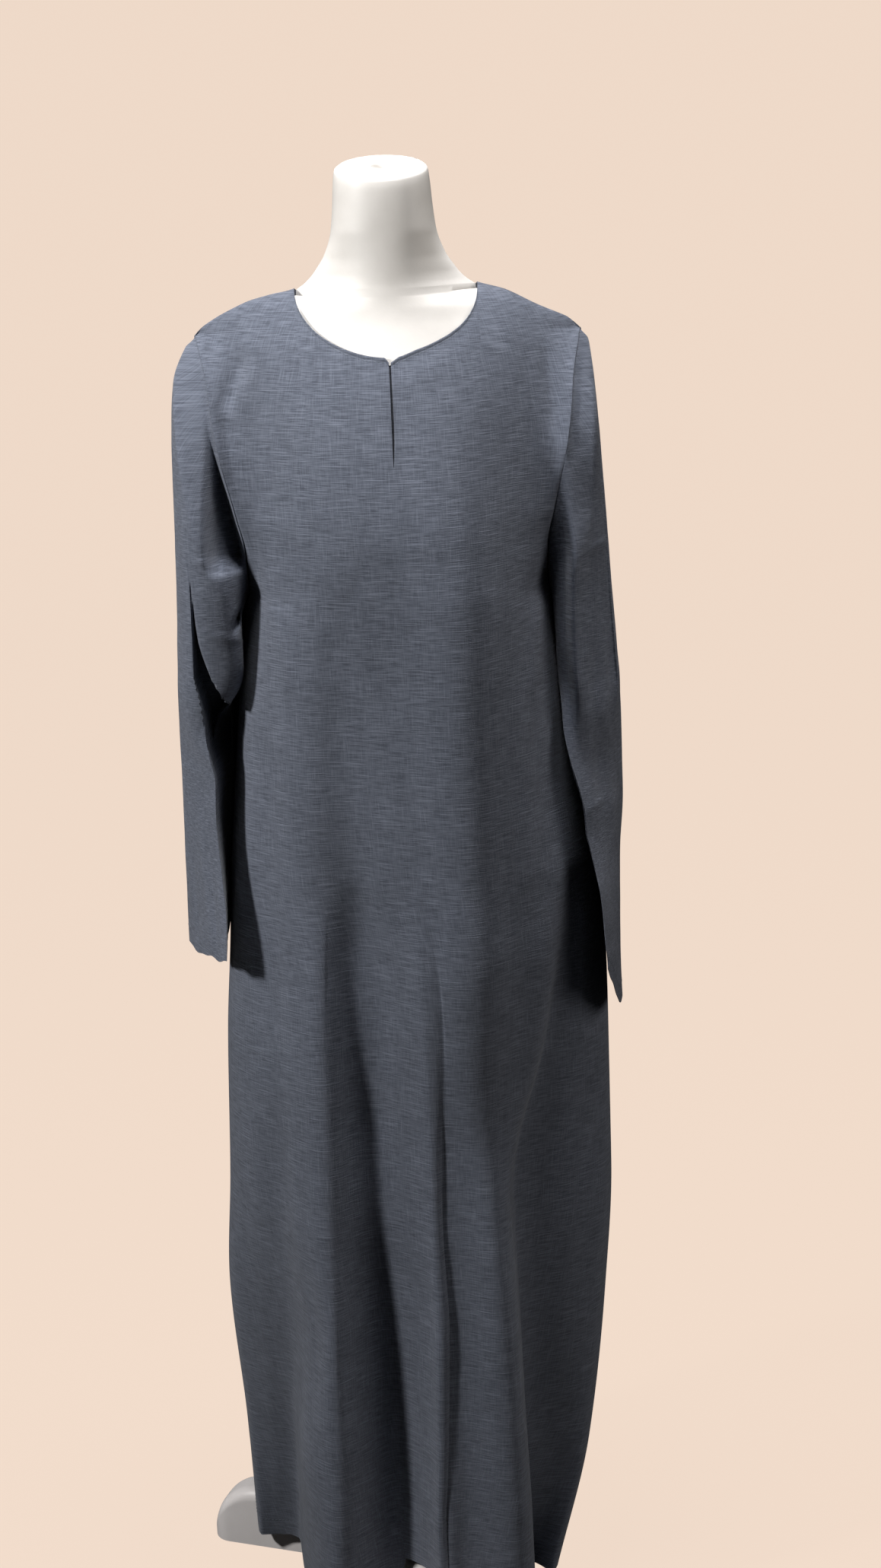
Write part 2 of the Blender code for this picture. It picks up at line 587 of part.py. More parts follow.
def make_sleeve(name, ring_out, ring_in, material):
    side = SLEEVE_SIDE[name]
    apart = np.array([side * ARMHOLE_GAP, 0.0, 0.0])
    start = ring_out + apart
    count = len(start)
    half = count // 2
    length = np.linalg.norm(np.diff(np.vstack([start, start[:1]]), axis=0), axis=1)
    angles = np.empty(count)
    front = np.concatenate([[0.0], np.cumsum(length[:half])])
    rear = np.concatenate([[0.0], np.cumsum(length[half:])])
    angles[:half + 1] = math.pi * front / front[-1]
    angles[half:] = math.pi + math.pi * rear[:-1] / rear[-1]
    outer = np.empty((SLEEVE_RINGS + 1, count, 3))
    outer[0] = start
    for r in range(1, SLEEVE_RINGS + 1):
        t = (r / SLEEVE_RINGS) ** 1.25
        inside = 0.5 - 0.5 * np.cos(angles)
        cuff = CUFF_OUTER_Z[name] + (CUFF_INNER_Z[name] - CUFF_OUTER_Z[name]) * inside
        z = start[:, 2] + (cuff - start[:, 2]) * t
        x, y = sleeve_surface(name, angles, z)
        outside, under, ahead = SLEEVE_SETTLE
        settle = outside + under * inside + ahead * np.sin(angles) ** 2
        settled = ease(0.0, settle, start[:, 2] - z)
        outer[r, :, 0] = start[:, 0] + (x - start[:, 0]) * settled
        outer[r, :, 1] = start[:, 1] + (y - start[:, 1]) * settled
        outer[r, :, 2] = z
    wrapped = np.concatenate([outer[:, -1:], outer, outer[:, :1]], axis=1)
    inward = normals_of(wrapped)[:, 1:-1]
    centre = outer.mean(axis=1, keepdims=True)
    if ((centre - outer)[5:] * inward[5:]).sum() < 0:
        inward = -inward
    short = np.maximum(0.0, side * ((ring_in - ring_out)[:, 0] / CLOTH - inward[0, :, 0]))
    inward[0, :, 0] += side * short
    inner = outer + inward * CLOTH
    quads = []
    index = np.arange((SLEEVE_RINGS + 1) * count).reshape(SLEEVE_RINGS + 1, count)
    for r in range(SLEEVE_RINGS):
        for j in range(count):
            k = (j + 1) % count
            quads.append((int(index[r, j]), int(index[r + 1, j]),
                          int(index[r + 1, k]), int(index[r, k])))
    points, faces = solid_from(outer.reshape(-1, 3), inner.reshape(-1, 3), quads)
    new_object("sleeve_" + name, points, faces, material)


def shoulder_reach(z, side):
    """How far from the middle the shoulder line is as low as z."""
    low = 0.0
    high = 0.4
    for _ in range(40):
        reach = (low + high) / 2.0
        if shoulder_line(side * reach) > z:
            low = reach
        else:
            high = reach
    return low


def form_ring(z, segments):
    """One level ring of the form between its hips and its neck."""
    turn = 2.0 * math.pi * np.arange(segments) / segments
    across = np.cos(turn)
    ahead = np.sin(turn)
    if z < FORM_TOP[0][0]:
        x = from_table(FORM, FORM_COLUMNS, "half_width", z) * across
        front = from_table(FORM, FORM_COLUMNS, "front", z) * ahead
        back = from_table(FORM, FORM_COLUMNS, "back", z) * ahead
        return np.stack([x, np.where(ahead < 0, front, back), np.full(segments, z)], axis=1)
    gap = CLOTH + FORM_CLEARANCE
    widest = float(curve([row[0] for row in FORM_TOP], [row[1] for row in FORM_TOP], z))
    right = min(widest, shoulder_reach(z + gap, 1.0))
    left = min(widest, shoulder_reach(z + gap, -1.0))
    x = np.where(across > 0, right, left) * across
    share = x / half_width(z, across)
    front = section(share, z + gap, "front")[1]
    back = section(share, z + gap, "back")[1]
    deep = np.abs(np.where(ahead < 0, front, back))
    deep = deep ** 2 / (deep + gap) * np.sqrt(1.0 - np.abs(across) ** 6)
    deep = deep * (1.0 - FORM_NECK_SLACK * ease(NECK_BLEND[0], NECK_BLEND[1], z))
    _z, neck_half, neck_front, _back = NECK[0]
    neck = neck_front * np.sqrt(np.clip(1.0 - (x / neck_half) ** 2, 0.0, 1.0))
    neck = neck * ease(NECK_BLEND[0], NECK_BLEND[1], z)
    deep = np.where(ahead < 0, (deep ** 6 + neck ** 6) ** (1.0 / 6.0), deep)
    return np.stack([x, np.sign(ahead) * deep, np.full(segments, z)], axis=1)


def oval(wide, front, back, z, segments):
    turn = 2.0 * math.pi * np.arange(segments) / segments
    deep = np.where(np.sin(turn) < 0, front, back)
    return np.stack([wide * np.cos(turn), deep * np.sin(turn), np.full(segments, z)], axis=1)


def make_form(material):
    """The dress form: hips to neck in one moulded piece, with a hole in the neck's top."""
    segments = FORM_SEGMENTS
    rings = [form_ring(z, segments) for z in FORM_RING_HEIGHTS]
    for z, wide, front, back in NECK:
        rings.append(oval(wide, front, back, z, segments))
    crown = NECK_TOP_Z + NECK_CROWN
    for radius, z in ((NECK_CROWN_RADIUS, crown), (NECK_HOLE_RADIUS, crown),
                      (NECK_HOLE_RADIUS, NECK_TOP_Z - NECK_HOLE_DEPTH)):
        rings.append(oval(radius, radius, radius, z, segments))
    points = np.array(rings).reshape(-1, 3)
    lean = ease(1.49, NECK_TOP_Z, points[:, 2])
    points[:, 2] += NECK_TOP_TILT * points[:, 1] * lean
    down = FORM_LEAN * np.clip(1.0 - points[:, 2] / CHEST_Z, 0.0, 1.0)
    points[:, 0] -= NECK_X * down
    points[:, 1] -= NECK_Y * down
    faces = []
    for r in range(len(rings) - 1):
        for k in range(segments):
            n = (k + 1) % segments
            faces.append((r * segments + k, r * segments + n,
                          (r + 1) * segments + n, (r + 1) * segments + k))
    faces.append(tuple(reversed(range(segments))))
    last = (len(rings) - 1) * segments
    faces.append(tuple(last + k for k in range(segments)))
    new_object("dress_form", points, faces, material)


def leg_section(reach):
    """The leg's cross-section at a distance from the base's middle, as (aside, z)."""
    past_top = max(0.0, (reach - (LEG_REACH - LEG_NOSE)) / LEG_NOSE)
    past_side = max(0.0, (reach - (LEG_REACH - LEG_HALF_WIDTH)) / LEG_HALF_WIDTH)
    height = LEG_HEIGHT * math.sqrt(max(1.0 - past_top ** 2, 0.02))
    half = LEG_HALF_WIDTH * math.sqrt(max(1.0 - past_side ** 2, 0.03))
    round_off = min(LEG_ROUNDING, half * 0.9, height * 0.9)
    outline = [(-half, 0.0), (half, 0.0)]
    for k in range(6):
        angle = math.pi / 2 * k / 5
        outline.append((half - round_off + round_off * math.cos(angle),
                        height - round_off + round_off * math.sin(angle)))
    for k in range(6):
        angle = math.pi / 2 * (1 + k / 5)
        outline.append((-half + round_off + round_off * math.cos(angle),
                        height - round_off + round_off * math.sin(angle)))
    return outline


def make_leg(name, azimuth):
    turn = math.radians(azimuth)
    along = Vector((math.cos(turn), math.sin(turn), 0.0))
    aside = Vector((-math.sin(turn), math.cos(turn), 0.0))
    flat = LEG_REACH - LEG_NOSE
    stations = [0.0, flat / 2.0] + [flat + LEG_NOSE * t for t in NOSE_STATIONS]
    built = bmesh.new()
    rings = []
    for reach in stations:
        ring = []
        for s, z in leg_section(reach):
            ring.append(built.verts.new(along * reach + aside * s + Vector((0, 0, z))))
        rings.append(ring)
    for a, b in zip(rings, rings[1:]):
        for k in range(len(a)):
            n = (k + 1) % len(a)
            built.faces.new((a[k], a[n], b[n], b[k]))
    built.faces.new(rings[0])
    built.faces.new(reversed(rings[-1]))
    bmesh.ops.recalc_face_normals(built, faces=built.faces)
    mesh = bpy.data.meshes.new(name)
    built.to_mesh(mesh)
    built.free()
    made = bpy.data.objects.new(name, mesh)
    bpy.context.scene.collection.objects.link(made)
    return made


def round_bar(name, radius, low, high, segments):
    """A round bar between two points, with flat ends."""
    built = bmesh.new()
    rings = []
    for centre in (low, high):
        ring = []
        for k in range(segments):
            angle = 2.0 * math.pi * k / segments
            ring.append(built.verts.new((centre[0] + radius * math.cos(angle),
                                         centre[1] + radius * math.sin(angle), centre[2])))
        rings.append(ring)
    for k in range(segments):
        n = (k + 1) % segments
        built.faces.new((rings[0][k], rings[0][n], rings[1][n], rings[1][k]))
    built.faces.new(reversed(rings[0]))
    built.faces.new(rings[1])
    mesh = bpy.data.meshes.new(name)
    built.to_mesh(mesh)
    built.free()
    mesh.shade_smooth()
    mesh.set_sharp_from_angle(angle=math.radians(40.0))
    made = bpy.data.objects.new(name, mesh)
    bpy.context.scene.collection.objects.link(made)
    return made


def make_base(material):
    """The moulded base: three rounded legs joined to a round hub."""
    hub = round_bar("base", HUB_RADIUS, (0.0, 0.0, 0.0), (0.0, 0.0, HUB_HEIGHT), 36)
    for azimuth in LEG_AZIMUTHS:
        leg = make_leg("leg_shape", azimuth)
        leg.hide_render = True
        leg.display_type = "WIRE"
        join = hub.modifiers.new("join_leg", "BOOLEAN")
        join.operation = "UNION"
        join.solver = "EXACT"
        join.object = leg
    hub.data.materials.append(material)
    return hub


def make_pole(material):
    """A plain pole from the hub to the form, leaning as the form does."""
    lean = FORM_LEAN * (1.0 - FORM_BOTTOM_Z / CHEST_Z)
    top = (NECK_X - NECK_X * lean, NECK_Y - NECK_Y * lean, FORM_BOTTOM_Z - SEAM_GAP)
    pole = round_bar("pole", POLE_RADIUS, (0.0, 0.0, HUB_HEIGHT + SEAM_GAP), top, 20)
    pole.data.materials.append(material)


def main():
    clear_scene()
    cloth = plain_material("slub_cloth", (0.105, 0.120, 0.140), 0.85)
    shell = plain_material("form_shell", (0.78, 0.75, 0.70), 0.55)
    steel = plain_material("pole_steel", (0.55, 0.55, 0.56), 0.30, 1.0)
    plastic = plain_material("base_plastic", (0.66, 0.63, 0.62), 0.50)
    front_out, front_in = make_front(cloth)
    back_out, back_in = make_back(cloth)
    for name, column in (("right", 0), ("left", -1)):
        ring_out = armhole_ring(front_out, back_out, column)
        ring_in = armhole_ring(front_in, back_in, column)
        make_sleeve(name, ring_out, ring_in, cloth)
    make_form(shell)
    make_pole(steel)
    make_base(plastic)


main()
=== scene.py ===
"""The abaya on its dress form, finished for a photograph.

The cloth here is a thin shell on the solids' own forms, with the creases, the rolled
neckline, the slit, the seams and the stitching added. Tables and functions follow the
part's own, with the skirt's sides and the sleeves a few millimetres wider, and plan places
are measured from the neck's middle as they are there.
"""

import math

import bmesh
import bpy
import numpy as np
from mathutils import Matrix, Vector, noise


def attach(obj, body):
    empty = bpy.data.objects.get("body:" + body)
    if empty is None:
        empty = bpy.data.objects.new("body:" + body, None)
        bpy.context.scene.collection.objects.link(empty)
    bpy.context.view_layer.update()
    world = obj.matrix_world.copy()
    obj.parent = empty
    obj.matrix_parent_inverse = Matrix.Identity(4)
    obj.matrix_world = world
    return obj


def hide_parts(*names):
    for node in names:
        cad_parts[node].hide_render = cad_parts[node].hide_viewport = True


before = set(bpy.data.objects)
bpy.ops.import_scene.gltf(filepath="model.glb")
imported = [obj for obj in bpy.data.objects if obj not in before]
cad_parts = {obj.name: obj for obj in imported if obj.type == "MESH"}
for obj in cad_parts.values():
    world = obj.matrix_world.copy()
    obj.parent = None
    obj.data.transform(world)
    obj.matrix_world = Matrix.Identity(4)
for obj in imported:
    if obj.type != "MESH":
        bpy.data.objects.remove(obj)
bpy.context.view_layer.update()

# Driving dimensions, in metres
CLOTH = 0.0012
NECK_X = 0.035
NECK_Y = -0.030
SHOULDER_POINT_Z = 1.442
NECK_HALF_WIDTH = 0.090
SHOULDER_HALF_WIDTH = 0.190
SHOULDER_SLOPE = 0.445
SHOULDER_TILT = 0.026
SHOULDER_RISE = ((-0.190, 0.0010), (-0.180, 0.0055), (-0.160, 0.0085), (-0.140, 0.0092),
                 (-0.115, 0.0058), (-0.090, 0.0010), (0.000, 0.0000), (0.090, 0.0050),
                 (0.120, 0.0092), (0.150, 0.0075), (0.175, 0.0080), (0.190, 0.0032))
FRONT_NECK_DROP = 0.060
BACK_NECK_DROP = 0.015
SLIT_BOTTOM_Z = 1.280
SLIT_WIDTH = 0.0042
UNDERARM_Z = 1.150
CHEST_Z = 1.200
SHOULDER_ROUND = 1.6
RIDGE_SOFTNESS = 0.03
# The search for a place on the shoulder line: how far out it starts, and its steps.
REACH_LIMIT = 0.4
REACH_STEPS = 40
# The cross-section's fullness: 1 - share ** SIDE_SHARPNESS, to a power that grows from
# the hips' to the chest's between two heights.
SIDE_SHARPNESS = 2.2
HIP_POWER = 0.5
CHEST_POWER = 0.9
POWER_HEIGHTS = (1.120, 1.320)
ARMHOLE_REACH = 4
HEM_Z = 0.030
HEM_LIFT = 0.047
HIP_Z = 0.860
NECK_SHARE = NECK_HALF_WIDTH / SHOULDER_HALF_WIDTH
NECK_TOP_Z = 1.558
NECK_TOP_TILT = 0.22
NECK_HOLE_RADIUS = 0.0085
NECK_HOLE_DEPTH = 0.018
NECK_CROWN = 0.0008
NECK_CROWN_RADIUS = 0.030
FORM_LEAN = 1.2
FORM_CLEARANCE = 0.0008
FORM_NECK_SLACK = 0.06
POLE_RADIUS = 0.0125
HUB_RADIUS = 0.046
HUB_HEIGHT = 0.082
LEG_REACH = 0.240
LEG_HALF_WIDTH = 0.022
LEG_HEIGHT = 0.071
LEG_NOSE = 0.057
LEG_ROUNDING = 0.014
NOSE_STATIONS = (0.0, 0.28, 0.53, 0.70, 0.84, 0.93, 0.98)
LEG_AZIMUTHS = (160.5, 280.5, 40.5)
LEG_CLEAR = (0.027, 0.036)
# The body's cross-sections, from hem to underarm: height, left and right edge, depth in
# front and behind, and how far back the left and right side seams lie.
BODY_COLUMNS = ("z", "left", "right", "front", "back", "left_seam", "right_seam")
BODY = (
    (0.030, -0.2105, 0.1300, 0.128, 0.165, 0.056, -0.044),
    (0.180, -0.2135, 0.1700, 0.130, 0.158, 0.045, -0.026),
    (0.360, -0.2215, 0.1930, 0.129, 0.148, 0.028, -0.014),
    (0.500, -0.2120, 0.2030, 0.127, 0.139, 0.016, -0.006),
    (0.670, -0.2035, 0.2035, 0.124, 0.130, 0.008, 0.000),
    (0.760, -0.1955, 0.2025, 0.122, 0.124, 0.004, 0.000),
    (0.860, -0.1875, 0.1920, 0.120, 0.118, 0.002, 0.000),
    (0.960, -0.1768, 0.1745, 0.120, 0.112, 0.000, 0.000),
    (1.060, -0.1655, 0.1630, 0.121, 0.107, 0.000, 0.000),
    (1.150, -0.1530, 0.1530, 0.123, 0.106, 0.000, 0.000),
)
# The armhole's edge: height, half width, and how far it stands in front and behind.
ARMHOLE_COLUMNS = ("z", "half_width", "front", "back")
ARMHOLE = (
    (1.150, 0.153, 0.000, 0.000),
    (1.165, 0.150, 0.030, 0.028),
    (1.190, 0.150, 0.047, 0.044),
    (1.230, 0.157, 0.058, 0.055),
    (1.280, 0.168, 0.060, 0.060),
    (1.320, 0.175, 0.051, 0.055),
    (1.360, 0.180, 0.034, 0.040),
    (1.385, 0.186, 0.016, 0.020),
    (1.400, 0.190, 0.000, 0.000),
)
# The front's fold lines, from the left side seam to the right one. Each row is the name,
# the share of the half width at the hip, where the fold dies out, and its x and its y at
# the five heights.
FOLD_HEIGHTS = (0.030, 0.180, 0.360, 0.500, 0.670)
FRONT_FOLDS = (
    ("left_seam", -1.000, (-0.2105, -0.2135, -0.2215, -0.2120, -0.2035),
     (0.056, 0.045, 0.028, 0.016, 0.008)),
    ("left_turn", -0.965, (-0.2050, -0.2085, -0.2155, -0.2060, -0.1980),
     (0.045, 0.033, 0.010, -0.008, -0.022)),
    ("left_flank", -0.840, (-0.1900, -0.1870, -0.1880, -0.1840, -0.1720),
     (0.045, 0.018, -0.018, -0.043, -0.062)),
    ("recess_a", -0.700, (-0.1630, -0.1580, -0.1520, -0.1520, -0.1450),
     (0.036, 0.002, -0.047, -0.070, -0.086)),
    ("corner_a", -0.600, (-0.1520, -0.1460, -0.1260, -0.1330, -0.1280),
     (-0.045, -0.078, -0.098, -0.098, -0.101)),
    ("ridge_1", -NECK_SHARE, (-0.1100, -0.1060, -0.1020, -0.1020, -0.0970),
     (-0.124, -0.129, -0.127, -0.122, -0.117)),
    ("trough", -0.250, (-0.0460, -0.0420, -0.0470, -0.0500, -0.0450),
     (-0.089, -0.085, -0.089, -0.096, -0.106)),
    ("ridge_2", 0.000, (0.0000, 0.0020, 0.0100, 0.0080, 0.0100),
     (-0.130, -0.133, -0.131, -0.129, -0.127)),
    ("crease", 0.070, (0.0080, 0.0090, 0.0160, 0.0170, 0.0260),
     (-0.126, -0.127, -0.124, -0.122, -0.123)),
    ("ridge_3", 0.260, (0.0780, 0.0770, 0.0720, 0.0640, 0.0520),
     (-0.130, -0.134, -0.134, -0.131, -0.126)),
    ("lap", NECK_SHARE, (0.0870, 0.0840, 0.0775, 0.0735, 0.0850),
     (-0.124, -0.129, -0.131, -0.126, -0.112)),
    ("edge", 0.760, (0.0915, 0.0880, 0.0820, 0.0790, 0.1180),
     (-0.108, -0.116, -0.121, -0.118, -0.088)),
    ("recess_b", 0.840, (0.0955, 0.0920, 0.0865, 0.0865, 0.1260),
     (-0.020, -0.048, -0.076, -0.088, -0.074)),
    ("right_flank", 0.920, (0.1080, 0.1300, 0.1445, 0.1530, 0.1690),
     (-0.034, -0.046, -0.060, -0.064, -0.054)),
    ("right_turn", 0.970, (0.1225, 0.1605, 0.1825, 0.1945, 0.1975),
     (-0.0545, -0.040, -0.034, -0.030, -0.022)),
    ("right_seam", 1.000, (0.1300, 0.1700, 0.1930, 0.2030, 0.2035),
     (-0.044, -0.026, -0.014, -0.006, 0.000)),
)
# How many columns of the front lie between one fold line and the next, and how much
# closer together they lie beside a shoulder point.
FRONT_STEPS = (1, 2, 2, 2, 3, 4, 4, 2, 4, 3, 2, 2, 3, 2, 1)
CLOSER = 1.7
# The back's ridges: share of the half width at the hip and at the hem, half the ridge's
# width as a share, how far it stands out at the hem, and the height where it dies out. They
# grow towards the hem by a power.
BACK_RIDGE_GROWTH = 1.3
BACK_RIDGES = (
    (-0.66, -0.70, 0.150, 0.024, 0.78),
    (-0.34, -0.38, 0.170, 0.034, 0.94),
    (0.02, -0.03, 0.150, 0.027, 0.84),
    (0.30, 0.31, 0.160, 0.036, 1.00),
    (0.62, 0.66, 0.150, 0.026, 0.80),
)
# Both sleeves hang as flattened tubes: height, outer and inner edge from the neck's
# middle, depth in front and behind, and how much the section slants in towards the back.
SLEEVE_COLUMNS = ("z", "outer", "inner", "front", "back", "slant")
SLEEVES = {
    "right": (
        (1.400, 0.196, 0.150, 0.045, 0.045, 0.00),
        (1.360, 0.2135, 0.150, 0.062, 0.065, 0.00),
        (1.300, 0.2190, 0.150, 0.073, 0.077, 0.00),
        (1.220, 0.2215, 0.152, 0.079, 0.082, -0.05),
        (1.150, 0.2245, 0.146, 0.083, 0.078, -0.20),
        (1.080, 0.2280, 0.140, 0.087, 0.070, -0.40),
        (1.020, 0.2310, 0.170, 0.091, 0.059, -0.08),
        (0.960, 0.2325, 0.192, 0.095, 0.047, 0.11),
        (0.880, 0.2345, 0.196, 0.099, 0.035, 0.07),
        (0.775, 0.2360, 0.2005, 0.103, 0.020, 0.04),
    ),
    "left": (
        (1.400, 0.196, 0.150, 0.045, 0.045, 0.00),
        (1.360, 0.2005, 0.150, 0.062, 0.065, 0.00),
        (1.300, 0.2060, 0.150, 0.072, 0.077, 0.00),
        (1.220, 0.2105, 0.150, 0.077, 0.082, -0.06),
        (1.150, 0.2140, 0.140, 0.080, 0.079, -0.25),
        (1.080, 0.2185, 0.136, 0.084, 0.072, -0.45),
        (1.010, 0.2225, 0.139, 0.088, 0.062, -0.45),
        (0.920, 0.2230, 0.168, 0.092, 0.046, -0.24),
        (0.860, 0.2190, 0.185, 0.095, 0.035, -0.13),
        (0.800, 0.2175, 0.192, 0.098, 0.024, -0.12),
        (0.750, 0.2165, 0.194, 0.100, 0.018, -0.12),
        (0.700, 0.2175, 0.195, 0.101, 0.014, -0.12),
    ),
}
# The wearer's right sleeve is at -X. Each cuff's height under the arm and outside.
SLEEVE_SIDE = {"right": -1.0, "left": 1.0}
CUFF_INNER_Z = {"right": 0.781, "left": 0.770}
CUFF_OUTER_Z = {"right": 0.774, "left": 0.696}
SLEEVE_RINGS = 19
SLEEVE_ROUND = 0.85
# How far below the armhole a sleeve takes its hanging form: beside the seam, and the
# more of it in front and behind.
SLEEVE_SETTLE = (0.012, 0.023, 0.075)
# Below the shoulders the form's own sections: height, half width, front and back depth.
FORM_COLUMNS = ("z", "half_width", "front", "back")
FORM = (
    (0.700, 0.118, 0.078, 0.080),
    (0.720, 0.134, 0.090, 0.092),
    (0.780, 0.150, 0.098, 0.098),
    (0.860, 0.153, 0.098, 0.097),
    (0.940, 0.132, 0.088, 0.088),
    (1.020, 0.116, 0.082, 0.076),
    (1.100, 0.126, 0.096, 0.084),
    (1.180, 0.140, 0.114, 0.094),
    (1.240, 0.148, 0.113, 0.097),
)
# Above them, the half width only: the depth follows the cloth's, FORM_CLEARANCE inside.
FORM_TOP = (
    (1.240, 0.148),
    (1.290, 0.158),
    (1.330, 0.166),
    (1.360, 0.171),
    (1.378, 0.173),
    (1.388, 0.1715),
    (1.394, 0.169),
    (1.400, 0.165),
    (1.406, 0.159),
    (1.412, 0.150),
    (1.425, 0.130),
    (1.432, 0.107),
    (1.438, 0.0885),
)
# The neck: height, half width, and its depth in front and behind.
NECK = (
    (1.4445, 0.0745, 0.0490, 0.0420),
    (1.4510, 0.0700, 0.0488, 0.0430),
    (1.4600, 0.0660, 0.0485, 0.0440),
    (1.4750, 0.0585, 0.0480, 0.0450),
    (1.4950, 0.0520, 0.0475, 0.0455),
    (1.5200, 0.0490, 0.0470, 0.0460),
    (1.5450, 0.0470, 0.0460, 0.0455),
    (1.5550, 0.0455, 0.0445, 0.0445),
    (NECK_TOP_Z, 0.0420, 0.0410, 0.0410),
)
# The neck's front grows out of the chest between these heights, and the sections are blended
# by a power. Another power closes the form's sections at their sides.
NECK_BLEND = (1.390, 1.425)
BLEND_POWER = 6
SIDE_CLOSING = 6
FORM_RING_HEIGHTS = (0.700, 0.712, 0.735, 0.780, 0.840, 0.900, 0.960, 1.020, 1.080, 1.140,
                     1.190, 1.240, 1.280, 1.320, 1.350, 1.370, 1.382, 1.390, 1.397, 1.404,
                     1.411, 1.418, 1.425, 1.432, 1.438)


def ease(low, high, value):
    """0 below low, 1 above high, and a smooth rise between them."""
    t = np.clip((value - low) / (high - low), 0.0, 1.0)
    return t * t * (3.0 - 2.0 * t)


def curve(knots, values, at):
    """A smooth curve through the knots that never overshoots them.

    values holds one number for each knot, or one row of numbers, a column for each point.
    """
    knots = np.asarray(knots, float)
    values = np.asarray(values, float)
    at = np.clip(np.asarray(at, float), knots[0], knots[-1])
    step = np.diff(knots)
    rise = np.diff(values, axis=0) / step.reshape(-1, *[1] * (values.ndim - 1))
    slope = np.zeros(values.shape)
    slope[0] = rise[0]
    slope[-1] = rise[-1]
    same = rise[1:] * rise[:-1] > 0
    with np.errstate(divide="ignore", invalid="ignore"):
        mean = 2.0 / (1.0 / rise[1:] + 1.0 / rise[:-1])
    slope[1:-1] = np.where(same, mean, 0.0)
    i = np.clip(np.searchsorted(knots, at, side="right") - 1, 0, len(step) - 1)
    t = (at - knots[i]) / step[i]
    h = step[i]
    low = (i, np.arange(len(at))) if values.ndim == 2 else i
    high = (i + 1, np.arange(len(at))) if values.ndim == 2 else i + 1
    return ((2 * t ** 3 - 3 * t ** 2 + 1) * values[low]
            + (t ** 3 - 2 * t ** 2 + t) * h * slope[low]
            + (3 * t ** 2 - 2 * t ** 3) * values[high]
            + (t ** 3 - t ** 2) * h * slope[high])


def from_table(rows, columns, name, z):
    """A named column of a table at the heights z."""
    rows = sorted(rows)
    k = columns.index(name)
    return curve([row[0] for row in rows], [row[k] for row in rows], z)


def body(name, z):
    """A named column of the body's table."""
    return from_table(BODY, BODY_COLUMNS, name, z)


def shoulder_rise(x):
    """How far the shoulder seam stands over its straight slope."""
    return curve([row[0] for row in SHOULDER_RISE], [row[1] for row in SHOULDER_RISE], x)


def shoulder_line(x):
    """The shoulder seam's height over x, carried on as a ridge over the neck."""
    soft = np.sqrt(x * x + RIDGE_SOFTNESS ** 2) - math.hypot(NECK_HALF_WIDTH, RIDGE_SOFTNESS)
    straight = SHOULDER_POINT_Z - SHOULDER_SLOPE * soft - SHOULDER_TILT * x
    return straight + shoulder_rise(x)


def armhole(name, z, share):
    """The armhole's edge, stretched so that it ends on that side's own shoulder point."""
    tip = shoulder_line(np.where(np.asarray(share) < 0, -1.0, 1.0) * SHOULDER_HALF_WIDTH)
    full = ARMHOLE[-1][0] - UNDERARM_Z
    level = UNDERARM_Z + (z - UNDERARM_Z) * full / (tip - UNDERARM_Z)
    return from_table(ARMHOLE, ARMHOLE_COLUMNS, name, level)


def half_width(z, share):
    """Half the body's width, out to the armhole above the underarm."""
    below = (body("right", z) - body("left", z)) / 2.0
    return np.where(z < UNDERARM_Z, below, armhole("half_width", z, share))


def middle(z):
    """Where the middle between the body's two sides lies."""
    return np.where(z < UNDERARM_Z, (body("right", z) + body("left", z)) / 2.0, 0.0)


def section(share, z, side):
    """A smooth point of the body without folds: its x, and its depth on that side."""
    share = np.asarray(share, float)
    x = middle(z) + share * half_width(z, share)
    deep = body(side, z)
    above = np.clip((z - CHEST_Z) / (shoulder_line(x) - CHEST_Z), 0.0, 1.0)
    deep = deep * (1.0 - above ** SHOULDER_ROUND) ** (1.0 / SHOULDER_ROUND)
    edge = np.where(z < UNDERARM_Z, 0.0, armhole(side, z, share))
    edge = edge * np.abs(share) ** ARMHOLE_REACH
    seam = (body("left_seam", z) * (1 - share) + body("right_seam", z) * (1 + share)) / 2
    seam = np.where(z < UNDERARM_Z, seam, 0.0)
    power = HIP_POWER + (CHEST_POWER - HIP_POWER) * ease(*POWER_HEIGHTS, z)
    profile = np.clip(1.0 - np.abs(share) ** SIDE_SHARPNESS, 0.0, 1.0) ** power
    if side == "front":
        return x, seam - edge - (deep - edge + seam) * profile
    return x, seam + edge + (deep - edge - seam) * profile


def hem_height(x, y):
    """The hem hangs just over the floor, and is lifted where it lies over a leg."""
    near = np.full(np.shape(x), 1.0)
    for azimuth in LEG_AZIMUTHS:
        along = (math.cos(math.radians(azimuth)), math.sin(math.radians(azimuth)))
        from_x = x + NECK_X
        from_y = y + NECK_Y
        ahead = from_x * along[0] + from_y * along[1]
        aside = np.abs(from_x * along[1] - from_y * along[0])
        near = np.where(ahead > 0.0, np.minimum(near, aside), near)
    return HEM_Z + HEM_LIFT * (1.0 - ease(*LEG_CLEAR, near))


def front_surface(line, z):
    """Points of the front: line counts the fold lines from the left side seam."""
    count = np.arange(len(FRONT_FOLDS))
    heights = FOLD_HEIGHTS + (HIP_Z,)
    fold_x = []
    fold_y = []
    for _name, share, xs, ys in FRONT_FOLDS:
        at = section(share, np.array(FOLD_HEIGHTS), "front")
        plain = section(share, z, "front")
        fold_x.append(plain[0] + curve(heights, np.append(np.array(xs) - at[0], 0.0), z))
        fold_y.append(plain[1] + curve(heights, np.append(np.array(ys) - at[1], 0.0), z))
    x, y = section(curve(count, [fold[1] for fold in FRONT_FOLDS], line), z, "front")
    x = np.where(z < HIP_Z, curve(count, np.array(fold_x), line), x)
    y = np.where(z < HIP_Z, curve(count, np.array(fold_y), line), y)
    return x, y


